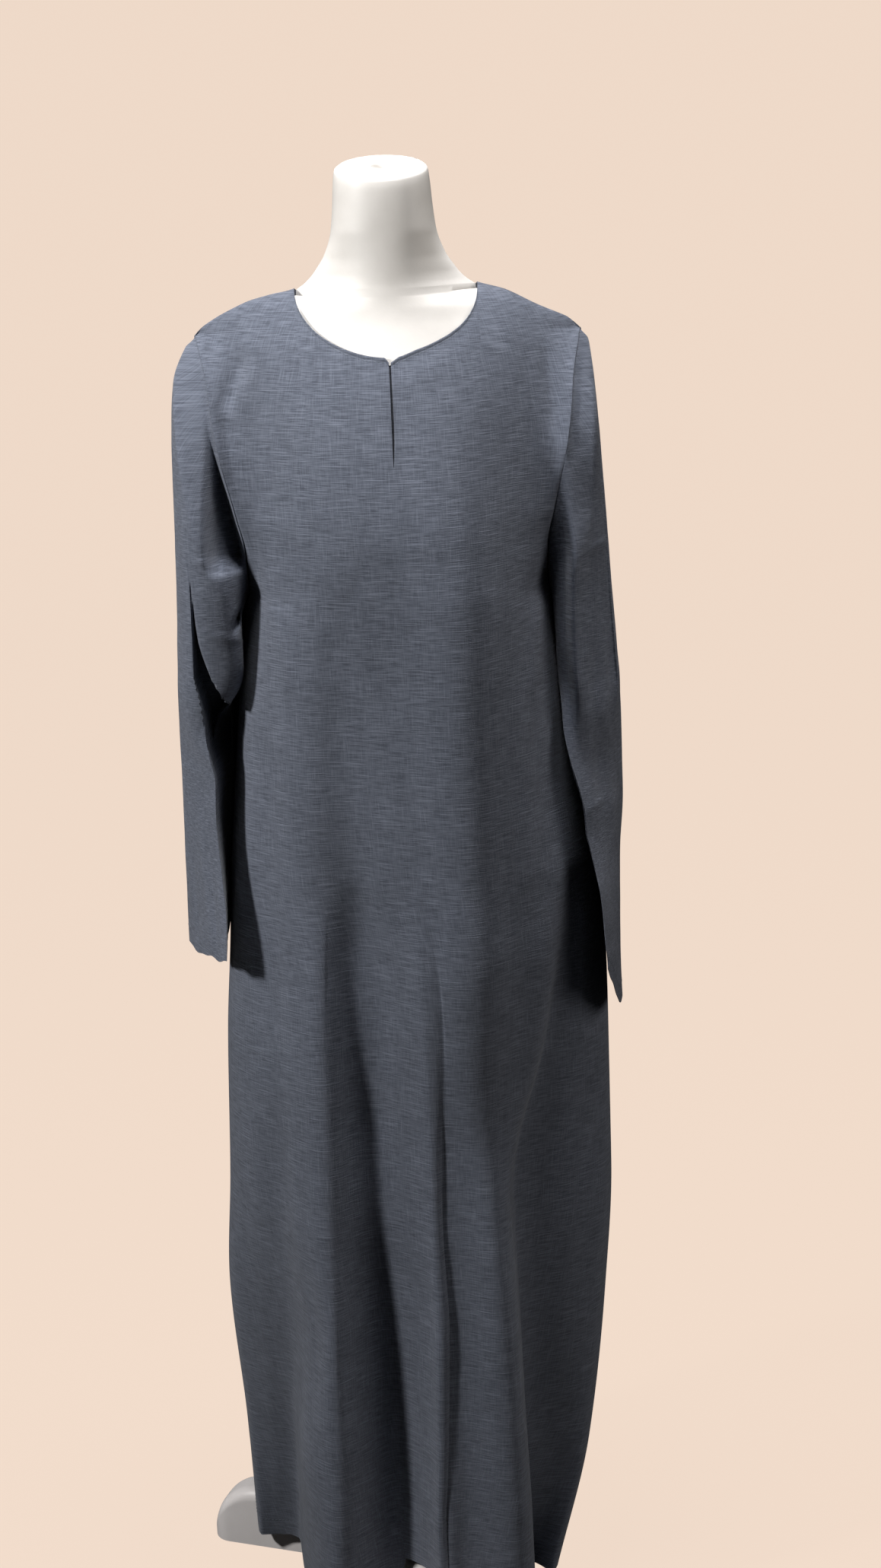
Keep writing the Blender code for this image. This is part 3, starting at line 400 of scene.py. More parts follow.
def back_surface(share, z):
    """Points of the back, with its ridges, which grow towards the hem."""
    x, y = section(share, z, "back")
    for hip, hem, half, depth, top in BACK_RIDGES:
        down = np.clip((top - z) / (top - HEM_Z), 0.0, 1.0)
        near = np.clip(np.abs(share - hip - (hem - hip) * down) / half, 0.0, 1.0)
        y = y + depth * down ** BACK_RIDGE_GROWTH * 0.5 * (1.0 + np.cos(math.pi * near))
    return x, y


# The rows of a panel's points: shares of the way up from the hem, then level rows, rows
# beside the armhole's curve, and shares of the way from the slit's foot to the top.
HEM_ROWS = (0.0, 0.2, 0.45, 0.72)
LEVEL_ROWS = (0.26, 0.32, 0.39, 0.46, 0.53, 0.61, 0.69, 0.77, 0.86, 0.95, 1.04, 1.10)
ARMHOLE_ROWS = (UNDERARM_Z, 1.163, 1.185, 1.212, 1.245)
TOP_ROWS = (0.0, 0.28, 0.52, 0.72, 0.86, 0.95, 1.0)
ARM_ROW = len(HEM_ROWS) + len(LEVEL_ROWS)
SLIT_ROW = ARM_ROW + len(ARMHOLE_ROWS)
TOP_ROW = SLIT_ROW + len(TOP_ROWS) - 1


def top_height(share, drop):
    """The neckline between the shoulder points, and the shoulder seam outside them."""
    inside = abs(share) / NECK_SHARE
    seam = float(shoulder_line(share * SHOULDER_HALF_WIDTH))
    if inside >= 1.0:
        return seam
    x = share * SHOULDER_HALF_WIDTH
    level = SHOULDER_POINT_Z - SHOULDER_TILT * x + float(shoulder_rise(x))
    return level - drop * math.sqrt(1.0 - inside * inside)


def normals_of(points):
    """Smooth outward normals of a grid of points, rows going up, columns to the right."""
    along = np.gradient(points, axis=1)
    up = np.gradient(points, axis=0)
    normal = np.cross(along, up)
    return normal / np.linalg.norm(normal, axis=2, keepdims=True)


def solid_from(outer, inner, quads):
    """Faces of a wall: its outside, its inside and a strip along each free edge."""
    count = len(outer)
    faces = [tuple(q) for q in quads]
    faces += [tuple(v + count for v in reversed(q)) for q in quads]
    edges = {}
    for q in quads:
        for a, b in zip(q, q[1:] + q[:1]):
            edges[(a, b)] = True
    for a, b in edges:
        if (b, a) not in edges:
            faces.append((b, a, a + count, b + count))
    return np.concatenate([outer, inner]), faces


def sleeve_surface(name, angle, z):
    """A point of the hanging sleeve: angle 0 is outside, a quarter turn is in front."""
    def at(column):
        return from_table(SLEEVES[name], SLEEVE_COLUMNS, column, z)
    half = (at("outer") - at("inner")) / 2.0
    out = np.cos(angle)
    ahead = np.sin(angle)
    deep = np.where(ahead > 0, at("front"), at("back"))
    x = at("outer") - half + half * np.sign(out) * np.abs(out) ** SLEEVE_ROUND
    y = -deep * np.sign(ahead) * np.abs(ahead) ** SLEEVE_ROUND
    x = x - at("slant") * (y + at("front")) * (0.5 - 0.5 * out)
    return SLEEVE_SIDE[name] * x, y


def shoulder_reach(z, side):
    """How far from the middle the shoulder line is as low as z."""
    low = 0.0
    high = REACH_LIMIT
    for _ in range(REACH_STEPS):
        reach = (low + high) / 2.0
        if shoulder_line(side * reach) > z:
            low = reach
        else:
            high = reach
    return low


def form_ring(z, segments):
    """One level ring of the form between its hips and its neck."""
    turn = 2.0 * math.pi * np.arange(segments) / segments
    across = np.cos(turn)
    ahead = np.sin(turn)
    if z < FORM_TOP[0][0]:
        x = from_table(FORM, FORM_COLUMNS, "half_width", z) * across
        front = from_table(FORM, FORM_COLUMNS, "front", z) * ahead
        back = from_table(FORM, FORM_COLUMNS, "back", z) * ahead
        return np.stack([x, np.where(ahead < 0, front, back), np.full(segments, z)], axis=1)
    gap = CLOTH + FORM_CLEARANCE
    widest = float(curve([row[0] for row in FORM_TOP], [row[1] for row in FORM_TOP], z))
    right = min(widest, shoulder_reach(z + gap, 1.0))
    left = min(widest, shoulder_reach(z + gap, -1.0))
    x = np.where(across > 0, right, left) * across
    share = x / half_width(z, across)
    front = section(share, z + gap, "front")[1]
    back = section(share, z + gap, "back")[1]
    deep = np.abs(np.where(ahead < 0, front, back))
    deep = deep ** 2 / (deep + gap) * np.sqrt(1.0 - np.abs(across) ** SIDE_CLOSING)
    deep = deep * (1.0 - FORM_NECK_SLACK * ease(*NECK_BLEND, z))
    _z, neck_half, neck_front, _back = NECK[0]
    neck = neck_front * np.sqrt(np.clip(1.0 - (x / neck_half) ** 2, 0.0, 1.0))
    neck = neck * ease(*NECK_BLEND, z)
    both = (deep ** BLEND_POWER + neck ** BLEND_POWER) ** (1.0 / BLEND_POWER)
    deep = np.where(ahead < 0, both, deep)
    return np.stack([x, np.sign(ahead) * deep, np.full(segments, z)], axis=1)


def oval(wide, front, back, z, segments):
    """A level oval ring with its own depth in front and behind."""
    turn = 2.0 * math.pi * np.arange(segments) / segments
    deep = np.where(np.sin(turn) < 0, front, back)
    return np.stack([wide * np.cos(turn), deep * np.sin(turn), np.full(segments, z)], axis=1)


# The scene's own sizes: the shell's thickness, and how many times finer its grids are.
SHELL = 0.0007
ROWS_FINER = 9
COLUMNS_FINER = 4
SLEEVE_ROWS_FINER = 8
FORM_ROWS_FINER = 4
NECK_ROWS_FINER = 6
ARM = ARM_ROW * ROWS_FINER
SLIT = SLIT_ROW * ROWS_FINER
TOP = TOP_ROW * ROWS_FINER
# Cloth and moulding are shaded smooth where they turn by less than this, in degrees.
SMOOTH_TURN = 50.0
THREAD_SMOOTH_TURN = 60.0
BASE_SMOOTH_TURN = 40.0
# Columns lie closer together beside the slit, and the back's columns, from the sides in to
# the shoulder points and on to the middle: where each run ends, and how many it has.
TROUGH_CLOSER = 1.5
BACK_OUTER = (0.36, 40)
BACK_INNER = (0.975, 34)
# A share nearer than this to the shoulder point's counts as on it.
SHARE_SLACK = 1e-6

# The notch where the slit opens into the neckline: its depth, how far it reaches to each
# side, and how much the right half of the neckline is lifted beside it.
NOTCH_DEPTH = 0.0045
NOTCH_LEFT = 0.0045
NOTCH_RIGHT = 0.011
NECK_LIFT = 0.0035
NECK_LIFT_FROM = (0.006, 0.030)
NECK_LIFT_TO = (0.045, 0.085)
# The slit's opening: share of the way up from its foot, and share of its full width.
SLIT_SHAPE = ((0.0, 0.0), (0.08, 0.30), (0.25, 0.80), (0.42, 1.0), (0.65, 0.90), (1.0, 0.70))
# The turned edge beside the slit: its width, how far it stands out, and the height over the
# slit's foot in which it starts.
SLIT_TURNING = 0.0046
TURNING_RISE = 0.0004
TURNING_START = 0.010
# The neckline's roll: its width and rise, the middle and half width of its round as shares
# of that width, and the groove under it: its depth, its place as such a share, its half width.
NECK_ROLL = 0.0026
NECK_ROLL_RISE = 0.0006
ROLL_MIDDLE = 0.45
ROLL_HALF = 0.6
GROOVE_DEPTH = 0.00025
GROOVE_PLACE = 1.55
GROOVE_HALF = 0.0007
# How deep and how wide the cloth dips at a seam, and how far from a side seam, a top edge
# and a sleeve's seam its creases come up.
SEAM_DIP = 0.0005
SEAM_DIP_WIDTH = 0.0022
HELD_AT_SIDE = 0.022
HELD_AT_TOP = 0.030
HELD_AT_SLEEVE = 0.020
# The shares of a crease's length over which it comes up and dies out.
CREASE_START = (-0.05, 0.35)
CREASE_END = (0.70, 1.05)
# The cloth's wander: how far a wide and a small wave move it, how many of each lie in a
# metre, across and up, and where in the noise each piece begins.
WIDE_WAVE = 0.0011
SMALL_WAVE = 0.00032
WIDE_PITCH = (16.0, 7.0)
SMALL_PITCH = (60.0, 34.0)
FRONT_SEED = 3.0
BACK_SEED = 11.0
SLEEVE_SEED = {"right": 17.0, "left": 29.0}
# How far in the body's cloth may go: everywhere, more of it at the sides, and more below the
# chest.
ROOM_EVERYWHERE = 0.0004
ROOM_AT_SIDES = 0.005
ROOM_SIDES_FROM = (0.070, 0.130)
ROOM_AT_WAIST = 0.020
ROOM_WAIST_BELOW = (1.020, 1.190)

# Creases of the front: where each starts and ends (x and height), half its width, and how
# far it stands out, or in where negative.
FRONT_CREASES = (
    (-0.062, 1.230, -0.064, 0.640, 0.038, -0.0090),
    (-0.054, 0.930, -0.062, 0.500, 0.024, -0.0100),
    (-0.090, 1.165, -0.108, 0.640, 0.020, 0.0030),
    (0.060, 1.420, 0.055, 0.560, 0.056, 0.0160),
    (0.058, 1.270, 0.052, 0.600, 0.040, 0.0130),
    (0.018, 0.660, 0.005, -0.250, 0.012, 0.0055),
    (0.068, 0.700, 0.086, -0.300, 0.030, 0.0120),
    (0.108, 1.120, 0.124, 0.660, 0.016, 0.0030),
    (0.150, 0.900, 0.100, 0.590, 0.013, 0.0040),
    (-0.136, 1.100, -0.158, 0.640, 0.016, -0.0040),
    (-0.140, 1.396, -0.166, 1.330, 0.009, -0.0035),
    (-0.167, 1.350, -0.158, 1.245, 0.008, -0.0045),
    (-0.160, 1.265, -0.136, 1.150, 0.010, -0.0040),
    (-0.118, 1.410, -0.150, 1.330, 0.010, 0.0016),
    (-0.135, 1.180, -0.100, 1.040, 0.010, 0.0020),
    (0.150, 1.390, 0.164, 1.300, 0.008, -0.0022),
    (0.160, 1.240, 0.142, 1.130, 0.010, -0.0032),
    (0.140, 1.160, 0.122, 1.030, 0.009, 0.0018),
    (0.122, 1.410, 0.121, 1.280, 0.0022, 0.0004),
)
BACK_CREASES = (
    (-0.060, 1.230, -0.085, 0.860, 0.022, 0.0045),
    (0.045, 1.260, 0.060, 0.900, 0.024, 0.0050),
    (-0.005, 1.180, -0.012, 0.760, 0.019, -0.0060),
    (0.105, 1.160, 0.122, 0.760, 0.017, -0.0050),
    (-0.112, 1.190, -0.140, 0.700, 0.018, -0.0050),
    (-0.155, 1.300, -0.100, 1.120, 0.012, 0.0030),
    (0.155, 1.290, 0.108, 1.130, 0.012, 0.0028),
    (-0.145, 1.210, -0.085, 1.060, 0.010, -0.0030),
    (0.146, 1.200, 0.092, 1.070, 0.010, -0.0026),
    (0.150, 0.980, 0.090, 0.760, 0.012, 0.0022),
)
# Slanting ripples low on the front, where the cloth has been creased in the packet.
RIPPLES = (
    (-0.020, 0.985, 0.050, 0.955, 0.0028, 0.0005),
    (-0.028, 0.962, 0.046, 0.930, 0.0030, -0.0005),
    (-0.030, 0.935, 0.052, 0.903, 0.0026, 0.0006),
    (-0.022, 0.905, 0.044, 0.868, 0.0030, -0.0006),
    (-0.034, 0.890, 0.030, 0.862, 0.0024, 0.0005),
    (-0.016, 0.862, 0.050, 0.822, 0.0028, 0.0007),
    (-0.026, 0.834, 0.040, 0.800, 0.0028, -0.0006),
    (-0.036, 0.806, 0.034, 0.779, 0.0026, 0.0005),
    (-0.014, 0.790, 0.046, 0.752, 0.0030, 0.0006),
)

# Below the elbow each sleeve hangs as a flat strip with one sharp corner in front: height
# and distance out of that corner, the corner's place in the half turn from outside to
# inside, how straight the strip is, and the heights over which the strip ends.
STRIP_EDGE = {
    "right": ((0.740, 0.194), (0.776, 0.192), (0.821, 0.190), (0.859, 0.192),
              (0.925, 0.195), (0.964, 0.1935), (0.999, 0.1995), (1.046, 0.203),
              (1.076, 0.208), (1.144, 0.206), (1.205, 0.2075), (1.265, 0.2065),
              (1.337, 0.202), (1.390, 0.196)),
    "left": ((0.696, 0.1965), (0.735, 0.1968), (0.757, 0.1965), (0.782, 0.1945),
             (0.805, 0.1932), (0.836, 0.1903), (0.857, 0.1861), (0.881, 0.1813),
             (0.900, 0.1775), (0.918, 0.1765), (0.937, 0.1730), (0.975, 0.1630),
             (1.009, 0.1570), (1.044, 0.1600), (1.100, 0.1680)),
}
STRIP_TURN = {"right": 0.78, "left": 0.72}
STRIP_STRAIGHT = {"right": 0.65, "left": 0.40}
STRIP_TOP = {"right": (0.980, 1.060), "left": (0.960, 1.060)}
# The wearer's right sleeve: height and distance out of its panel's outer edge, with the
# hollow between the strip and the panel, and how deep that hollow is.
PANEL_EDGE = ((0.740, 0.100), (0.990, 0.130), (1.017, 0.167), (1.039, 0.176),
              (1.051, 0.183), (1.079, 0.193), (1.113, 0.201), (1.157, 0.203),
              (1.201, 0.2055), (1.265, 0.2050), (1.337, 0.1998), (1.390, 0.194))
HOLLOW_DEPTH = ((0.740, 0.000), (0.950, 0.000), (0.990, 0.050), (1.020, 0.055),
                (1.060, 0.036), (1.110, 0.016), (1.157, 0.006), (1.230, 0.003),
                (1.350, 0.002), (1.390, 0.000))
# The trough down its sleeve head: height, where its outer bank starts, and its depth. It
# ends at a press crease, under which the panel comes forward again.
VALLEY_BANK = ((1.150, 0.190), (1.190, 0.192), (1.250, 0.190), (1.304, 0.185), (1.380, 0.187))
VALLEY_DEPTH = ((1.176, 0.000), (1.192, 0.024), (1.220, 0.024), (1.280, 0.016),
                (1.330, 0.009), (1.380, 0.003), (1.400, 0.000))
# How wide the hollow's two banks and the trough's two banks are.
HOLLOW_BANK_IN = 0.0030
HOLLOW_BANK_OUT = (0.0005, 0.0022)
VALLEY_BANK_IN = 0.007
VALLEY_BANK_OUT = 0.018
# The pocket inside the elbow: the line along its corner (x and height), its depth, how wide
# its bank is, and the heights over which it opens and closes.
HOLLOW_CORNER = ((-0.142, 1.176), (-0.166, 1.126))
POCKET_DEPTH = 0.022
POCKET_BANK = 0.003
POCKET_OPENS = (1.118, 1.128)
POCKET_CLOSES = (1.168, 1.180)
# How deep each sleeve's cloth stands in front, as a share of its solid's depth.
SLEEVE_FRONT = {
    "right": ((0.740, 0.92), (0.800, 0.86), (0.880, 0.72), (0.960, 0.66), (1.020, 0.70),
              (1.080, 0.82), (1.150, 0.95), (1.220, 1.00)),
    "left": ((0.696, 0.92), (0.860, 0.94), (0.920, 0.94), (1.010, 0.92), (1.080, 0.93),
             (1.150, 0.94), (1.220, 0.95), (1.300, 0.98), (1.360, 1.00)),
}
# Behind, each sleeve lies against the body: height and how much deeper it hangs, and
# height and how far its inner side reaches towards the body.
REAR_ROOM = {
    "right": ((0.774, 1.9), (0.800, 1.9), (0.880, 1.3), (0.960, 1.0), (1.400, 1.0)),
    "left": ((0.696, 1.0), (0.750, 1.3), (0.880, 1.3), (0.960, 1.0), (1.400, 1.0)),
}
REAR_REACH = {
    "right": ((0.774, 0.003), (0.800, 0.006), (0.860, 0.008), (0.960, 0.008), (1.020, 0.014),
              (1.080, 0.027), (1.130, 0.024), (1.200, 0.012), (1.260, 0.000)),
    "left": ((0.696, 0.000), (0.800, 0.002), (0.880, 0.006), (0.960, 0.010), (1.060, 0.008),
             (1.120, 0.006), (1.200, 0.003), (1.260, 0.000)),
}
# It reaches so from this far behind the seams to that far, and on the inner side only.
REACH_BEHIND = (0.006, 0.034)
REACH_INSIDE = (0.35, 0.80)
# The wearer's left sleeve falls back towards the body: from which share of its width out to
# which, and the share of its depth that is left at the inner edge.
INNER_FALL = (0.10, 0.75, 0.72)
FALL_HEIGHTS = (0.960, 1.060, 1.220, 1.340)
# Outside of that its front is a flat side that falls back to the fold at its outer edge:
# the shares of its width between which it lies, and the shares of its depth that it would
# have at the inner edge and has at the outer one.
FLAT_FRONT = (0.32, 0.48, 0.93, 1.00)
FLAT_DEPTH = (1.45, 0.42)
SLEEVE_CREASES = {
    "right": (
        (-0.150, 1.184, -0.205, 1.192, 0.0030, 0.0012),
        (-0.150, 1.106, -0.200, 1.121, 0.0028, 0.0010),
        (-0.196, 0.970, -0.236, 0.966, 0.0026, 0.0010),
        (-0.215, 0.950, -0.208, 0.770, 0.0045, 0.0012),
        (-0.226, 0.900, -0.222, 0.770, 0.0040, -0.0010),
        (-0.203, 0.880, -0.202, 0.760, 0.0036, -0.0010),
        (-0.222, 1.330, -0.225, 1.130, 0.0050, 0.0012),
    ),
    "left": (
        (0.184, 1.182, 0.212, 1.190, 0.0028, 0.0011),
        (0.176, 0.922, 0.204, 0.930, 0.0028, 0.0010),
        (0.196, 1.350, 0.202, 1.130, 0.0060, 0.0016),
        (0.205, 0.990, 0.214, 0.760, 0.0050, 0.0014),
        (0.190, 1.100, 0.198, 0.900, 0.0070, -0.0018),
        (0.208, 1.120, 0.212, 0.980, 0.0050, -0.0012),
    ),
}
# The cuff's edge waves up and down: by how much, and the waves round it, each with its
# count, its start and its share.
CUFF_WAVE = 0.0014
CUFF_WAVES = ((5.0, 1.0, 1.0), (9.0, 0.0, 0.6))
# A sleeve's rows lie closer together at its head. Its creases lie where it faces the front,
# by how much its inward side points back. Its folds come up from the seam.
SLEEVE_CLOSER = 1.25
SLEEVE_FACING = (0.05, 0.45)
FOLDS_FROM_SEAM = 0.006
# The rows from which a sleeve hangs free, so that its inside is plain.
FREE_ROWS = 40

# The two colours of the cloth's yarn, in the photo's plain daylight.
YARN_DARK = (0.060, 0.069, 0.092)
YARN_LIGHT = (0.140, 0.157, 0.201)


def finer(values, times):
    """The same knots with each gap between them split into equal parts."""
    values = np.asarray(values, float)
    steps = np.arange(times) / times
    split = values[:-1, None] + np.diff(values)[:, None] * steps
    return np.append(split.ravel(), values[-1])


def along_table(rows, z):
    """A two-column table's value at a height."""
    return curve([row[0] for row in rows], [row[1] for row in rows], z)


def front_lines():
    """Where the front's columns lie, closer together beside the shoulder points and slit."""
    lines = [0.0]
    for k, steps in enumerate(FRONT_STEPS):
        count = steps * COLUMNS_FINER
        for i in range(1, count + 1):
            t = i / count
            if FRONT_FOLDS[k][0] in ("ridge_1", "crease"):
                t = t ** CLOSER
            if FRONT_FOLDS[k][0] == "trough":
                t = 1.0 - (1.0 - t) ** TROUGH_CLOSER
            if FRONT_FOLDS[k][0] == "ridge_3":
                t = 1.0 - (1.0 - t) ** CLOSER
            lines.append(k + t)
    return np.array(lines)


def back_shares():
    """Where the back's columns lie, as shares of the half width."""
    outer = [math.sin(math.pi / 2 * t) for t in np.linspace(1.0, *BACK_OUTER)]
    outer = [NECK_SHARE + (s - outer[-1]) * (1 - NECK_SHARE) / (1 - outer[-1])
             for s in outer]
    first, count = BACK_INNER
    inner = [NECK_SHARE * math.sin(math.pi / 2 * t) for t in np.linspace(first, 0.0, count)]
    half = outer + inner
    return np.array([-s for s in half] + half[-2::-1])


def notched_top(share):
    """The front neckline with its notch over the slit."""
    x = share * SHOULDER_HALF_WIDTH
    if x < 0:
        return top_height(share, FRONT_NECK_DROP) - NOTCH_DEPTH * ease(-NOTCH_LEFT, 0.0, x)
    lift = NECK_LIFT * ease(*NECK_LIFT_FROM, x) * (1.0 - ease(*NECK_LIFT_TO, x))
    return top_height(share, FRONT_NECK_DROP) - NOTCH_DEPTH * (1 - ease(0, NOTCH_RIGHT, x)) + lift


def plain_top(share):
    """The back neckline."""
    return top_height(share, BACK_NECK_DROP)


def crease_rise(points, rows):
    """How far each crease moves each point; every crease dies out at its ends."""
    rise = np.zeros(points.shape[:-1])
    for x0, z0, x1, z1, half, depth in rows:
        length = math.hypot(x1 - x0, z1 - z0)
        along = ((points[..., 0] - x0) * (x1 - x0) + (points[..., 2] - z0) * (z1 - z0)) / length
        aside = ((points[..., 0] - x0) * (z1 - z0) - (points[..., 2] - z0) * (x1 - x0)) / length
        run = along / length
        fade = ease(*CREASE_START, run) * (1.0 - ease(*CREASE_END, run))
        rise += depth * fade * np.exp(-(aside / half) ** 2)
    return rise


def unevenness(points, seed):
    """A slight wander of the cloth, as any hanging cloth has."""
    flat = points.reshape(-1, 3)
    made = np.empty(len(flat))
    wide_across, wide_up = WIDE_PITCH
    small_across, small_up = SMALL_PITCH
    for i, (x, y, z) in enumerate(flat):
        wide = noise.noise(Vector((x * wide_across + seed, y * wide_across, z * wide_up)))
        small = noise.noise(Vector((x * small_across, y * small_across + seed, z * small_up)))
        made[i] = WIDE_WAVE * wide + SMALL_WAVE * small
    return made.reshape(points.shape[:-1])


def room_inside(points):
    """How far in the body's cloth may go before it would meet the form."""
    x = np.abs(points[..., 0])
    z = points[..., 2]
    sides = ROOM_AT_SIDES * ease(*ROOM_SIDES_FROM, x)
    waist = ROOM_AT_WAIST * (1.0 - ease(*ROOM_WAIST_BELOW, z))
    return ROOM_EVERYWHERE + sides + waist


def seam_distance(outer):
    """Each point's distance from the panel's side edge and from its top edge."""
    left = np.linalg.norm(outer - outer[:, :1], axis=2)
    right = np.linalg.norm(outer - outer[:, -1:], axis=2)
    top = np.linalg.norm(outer - outer[-1:], axis=2)
    return np.minimum(left, right), top


def flat_map(outer):
    """Each point's place in the flat cloth: across from the middle column, and up."""
    step = np.linalg.norm(np.diff(outer, axis=1), axis=2)
    across = np.concatenate([np.zeros((len(outer), 1)), np.cumsum(step, axis=1)], axis=1)
    middle_column = outer.shape[1] // 2
    across = across - across[:, middle_column:middle_column + 1]
    return np.stack([across, outer[..., 2], np.zeros(across.shape)], axis=2)


def panel_grid(lines, shares, place, top, side, creases, seed):
    """Outer and inner points of a panel. side is -1 for the front and 1 for the back."""
    foot = place(lines, np.full(len(lines), HEM_Z))
    hems = hem_height(*foot)
    heights = []
    for share, hem in zip(shares, hems):
        low = [hem + (LEVEL_ROWS[0] - hem) * t for t in HEM_ROWS]
        high = [SLIT_BOTTOM_Z + (float(top(share)) - SLIT_BOTTOM_Z) * t for t in TOP_ROWS]
        heights.append(finer(low + list(LEVEL_ROWS) + list(ARMHOLE_ROWS) + high, ROWS_FINER))
    heights = np.array(heights).T
    x, y = place(np.tile(lines, len(heights)), heights.ravel())
    outer = np.stack([x, y, heights.ravel()], axis=1).reshape(*heights.shape, 3)
    on_shoulder = np.abs(shares) > NECK_SHARE - SHARE_SLACK
    outer[TOP, on_shoulder, 1] = 0.0
    inward = side * normals_of(outer)
    for c, towards in ((0, 1.0), (-1, -1.0)):
        inward[:ARM + 1, c] = (towards, 0.0, 0.0)
        inward[ARM + 1:, c, 2] = 0.0
    inward[TOP, on_shoulder] = (0.0, 0.0, -1.0)
    inward /= np.linalg.norm(inward, axis=2, keepdims=True)
    from_side, from_top = seam_distance(outer)
    held = ease(0.0, HELD_AT_SIDE, from_side) * ease(0.0, HELD_AT_TOP, from_top)
    rise = (crease_rise(outer, creases) + unevenness(outer, seed)) * held
    rise = np.maximum(rise, -room_inside(outer))
    rise -= SEAM_DIP * np.exp(-(from_side / SEAM_DIP_WIDTH) ** 2)
    in_neck = np.abs(shares) < NECK_SHARE - SHARE_SLACK
    from_middle = from_top - NECK_ROLL * ROLL_MIDDLE
    roll = NECK_ROLL_RISE * np.exp(-(from_middle / (NECK_ROLL * ROLL_HALF)) ** 2)
    from_groove = from_top - NECK_ROLL * GROOVE_PLACE
    groove = GROOVE_DEPTH * np.exp(-(from_groove / GROOVE_HALF) ** 2)
    dip = SEAM_DIP * np.exp(-(from_top / SEAM_DIP_WIDTH) ** 2)
    rise += np.where(in_neck, roll - groove, -dip)
    outer = outer - inward * rise[..., None]
    return outer, outer + inward * SHELL, inward


def cloth_object(name, outer, inner, quads, flats, material):
    """A closed thin shell with its flat cloth places kept for the weave."""
    points, faces = solid_from(outer, inner, quads)
    mesh = bpy.data.meshes.new(name)
    mesh.from_pydata([tuple(p) for p in points + (NECK_X, NECK_Y, 0.0)], [], faces)
    mesh.update()
    kept = mesh.attributes.new("flat", "FLOAT_VECTOR", "CORNER")
    count = len(quads)
    places = np.zeros((len(mesh.loops), 3))
    places[:4 * count] = flats.reshape(-1, 3)
    places[4 * count:8 * count] = flats[:, ::-1].reshape(-1, 3)
    kept.data.foreach_set("vector", places.ravel())
    mesh.shade_smooth()
    mesh.set_sharp_from_angle(angle=math.radians(SMOOTH_TURN))
    mesh.materials.append(material)
    made = bpy.data.objects.new(name, mesh)
    bpy.context.scene.collection.objects.link(made)
    return made


def make_front(material):
    """The front panel, cut open at its slit and turned beside it."""
    count = np.arange(len(FRONT_FOLDS))
    lines = front_lines()
    shares = curve(count, [fold[1] for fold in FRONT_FOLDS], lines)
    creases = FRONT_CREASES + RIPPLES
    outer, inner, inward = panel_grid(lines, shares, front_surface, notched_top, -1.0,
                                      creases, FRONT_SEED)
    centre = int(np.argmin(np.abs(shares)))
    width = len(lines)
    index = np.arange((TOP + 1) * width).reshape(TOP + 1, width)
    flat = flat_map(outer)
    beside = outer[SLIT:, :, 0] - outer[SLIT:, centre:centre + 1, 0]
    turned = ((beside > 0.0) & (beside < SLIT_TURNING)).astype(float)
    turned *= ease(0.0, TURNING_START, outer[SLIT:, :, 2] - SLIT_BOTTOM_Z)
    lifted = inward[SLIT:] * (turned * TURNING_RISE)[..., None]
    outer[SLIT:] -= lifted
    inner[SLIT:] -= lifted
    points_out = outer.reshape(-1, 3).copy()
    points_in = inner.reshape(-1, 3).copy()
    extra_out = []
    extra_in = []
    right_of_slit = index[:, centre].copy()
    top_z = outer[TOP, centre, 2]
    for r in range(SLIT + 1, TOP + 1):
        here = index[r, centre]
        t = (outer[r, centre, 2] - SLIT_BOTTOM_Z) / (top_z - SLIT_BOTTOM_Z)
        open_by = SLIT_WIDTH / 2.0 * float(along_table(SLIT_SHAPE, t))
        right_of_slit[r] = len(points_out) + len(extra_out)
        extra_out.append(points_out[here] + (open_by, 0.0, 0.0))
        extra_in.append(points_in[here] + (open_by, 0.0, 0.0))
        points_out[here, 0] -= open_by
        points_in[here, 0] -= open_by
    points_out = np.concatenate([points_out, extra_out])
    points_in = np.concatenate([points_in, extra_in])
    quads = []
    flats = []
    for r in range(TOP):
        for c in range(width - 1):
            left = right_of_slit if c == centre else index[:, c]
            quads.append((int(left[r]), int(index[r, c + 1]), int(index[r + 1, c + 1]),
                          int(left[r + 1])))
            flats.append((flat[r, c], flat[r, c + 1], flat[r + 1, c + 1], flat[r + 1, c]))
    made = cloth_object("front_panel", points_out, points_in, quads, np.array(flats), material)
    return made, outer, inner, centre


def make_back(material):
    """The back panel."""
    shares = back_shares()
    outer, inner, _inward = panel_grid(shares, shares, back_surface, plain_top, 1.0,
                                       BACK_CREASES, BACK_SEED)
    width = len(shares)
    index = np.arange((TOP + 1) * width).reshape(TOP + 1, width)
    flat = flat_map(outer)
    quads = []
    flats = []
    for r in range(TOP):
        for c in range(width - 1):
            quads.append((int(index[r, c + 1]), int(index[r, c]), int(index[r + 1, c]),
                          int(index[r + 1, c + 1])))
            flats.append((flat[r, c + 1], flat[r, c], flat[r + 1, c], flat[r + 1, c + 1]))
    made = cloth_object("back_panel", outer.reshape(-1, 3), inner.reshape(-1, 3), quads,
                        np.array(flats), material)
    return made, outer, inner


def ring_round(front, back, column):
    """The armhole's points, from the shoulder down the front and up the back."""
    down = front[TOP:ARM - 1:-1, column]
    up = back[ARM:TOP + 1, column]
    ring = [(down[0] + up[-1]) / 2.0]
    ring += list(down[1:-1])
    ring.append((down[-1] + up[0]) / 2.0)
    ring += list(up[1:-1])
    return np.array(ring)


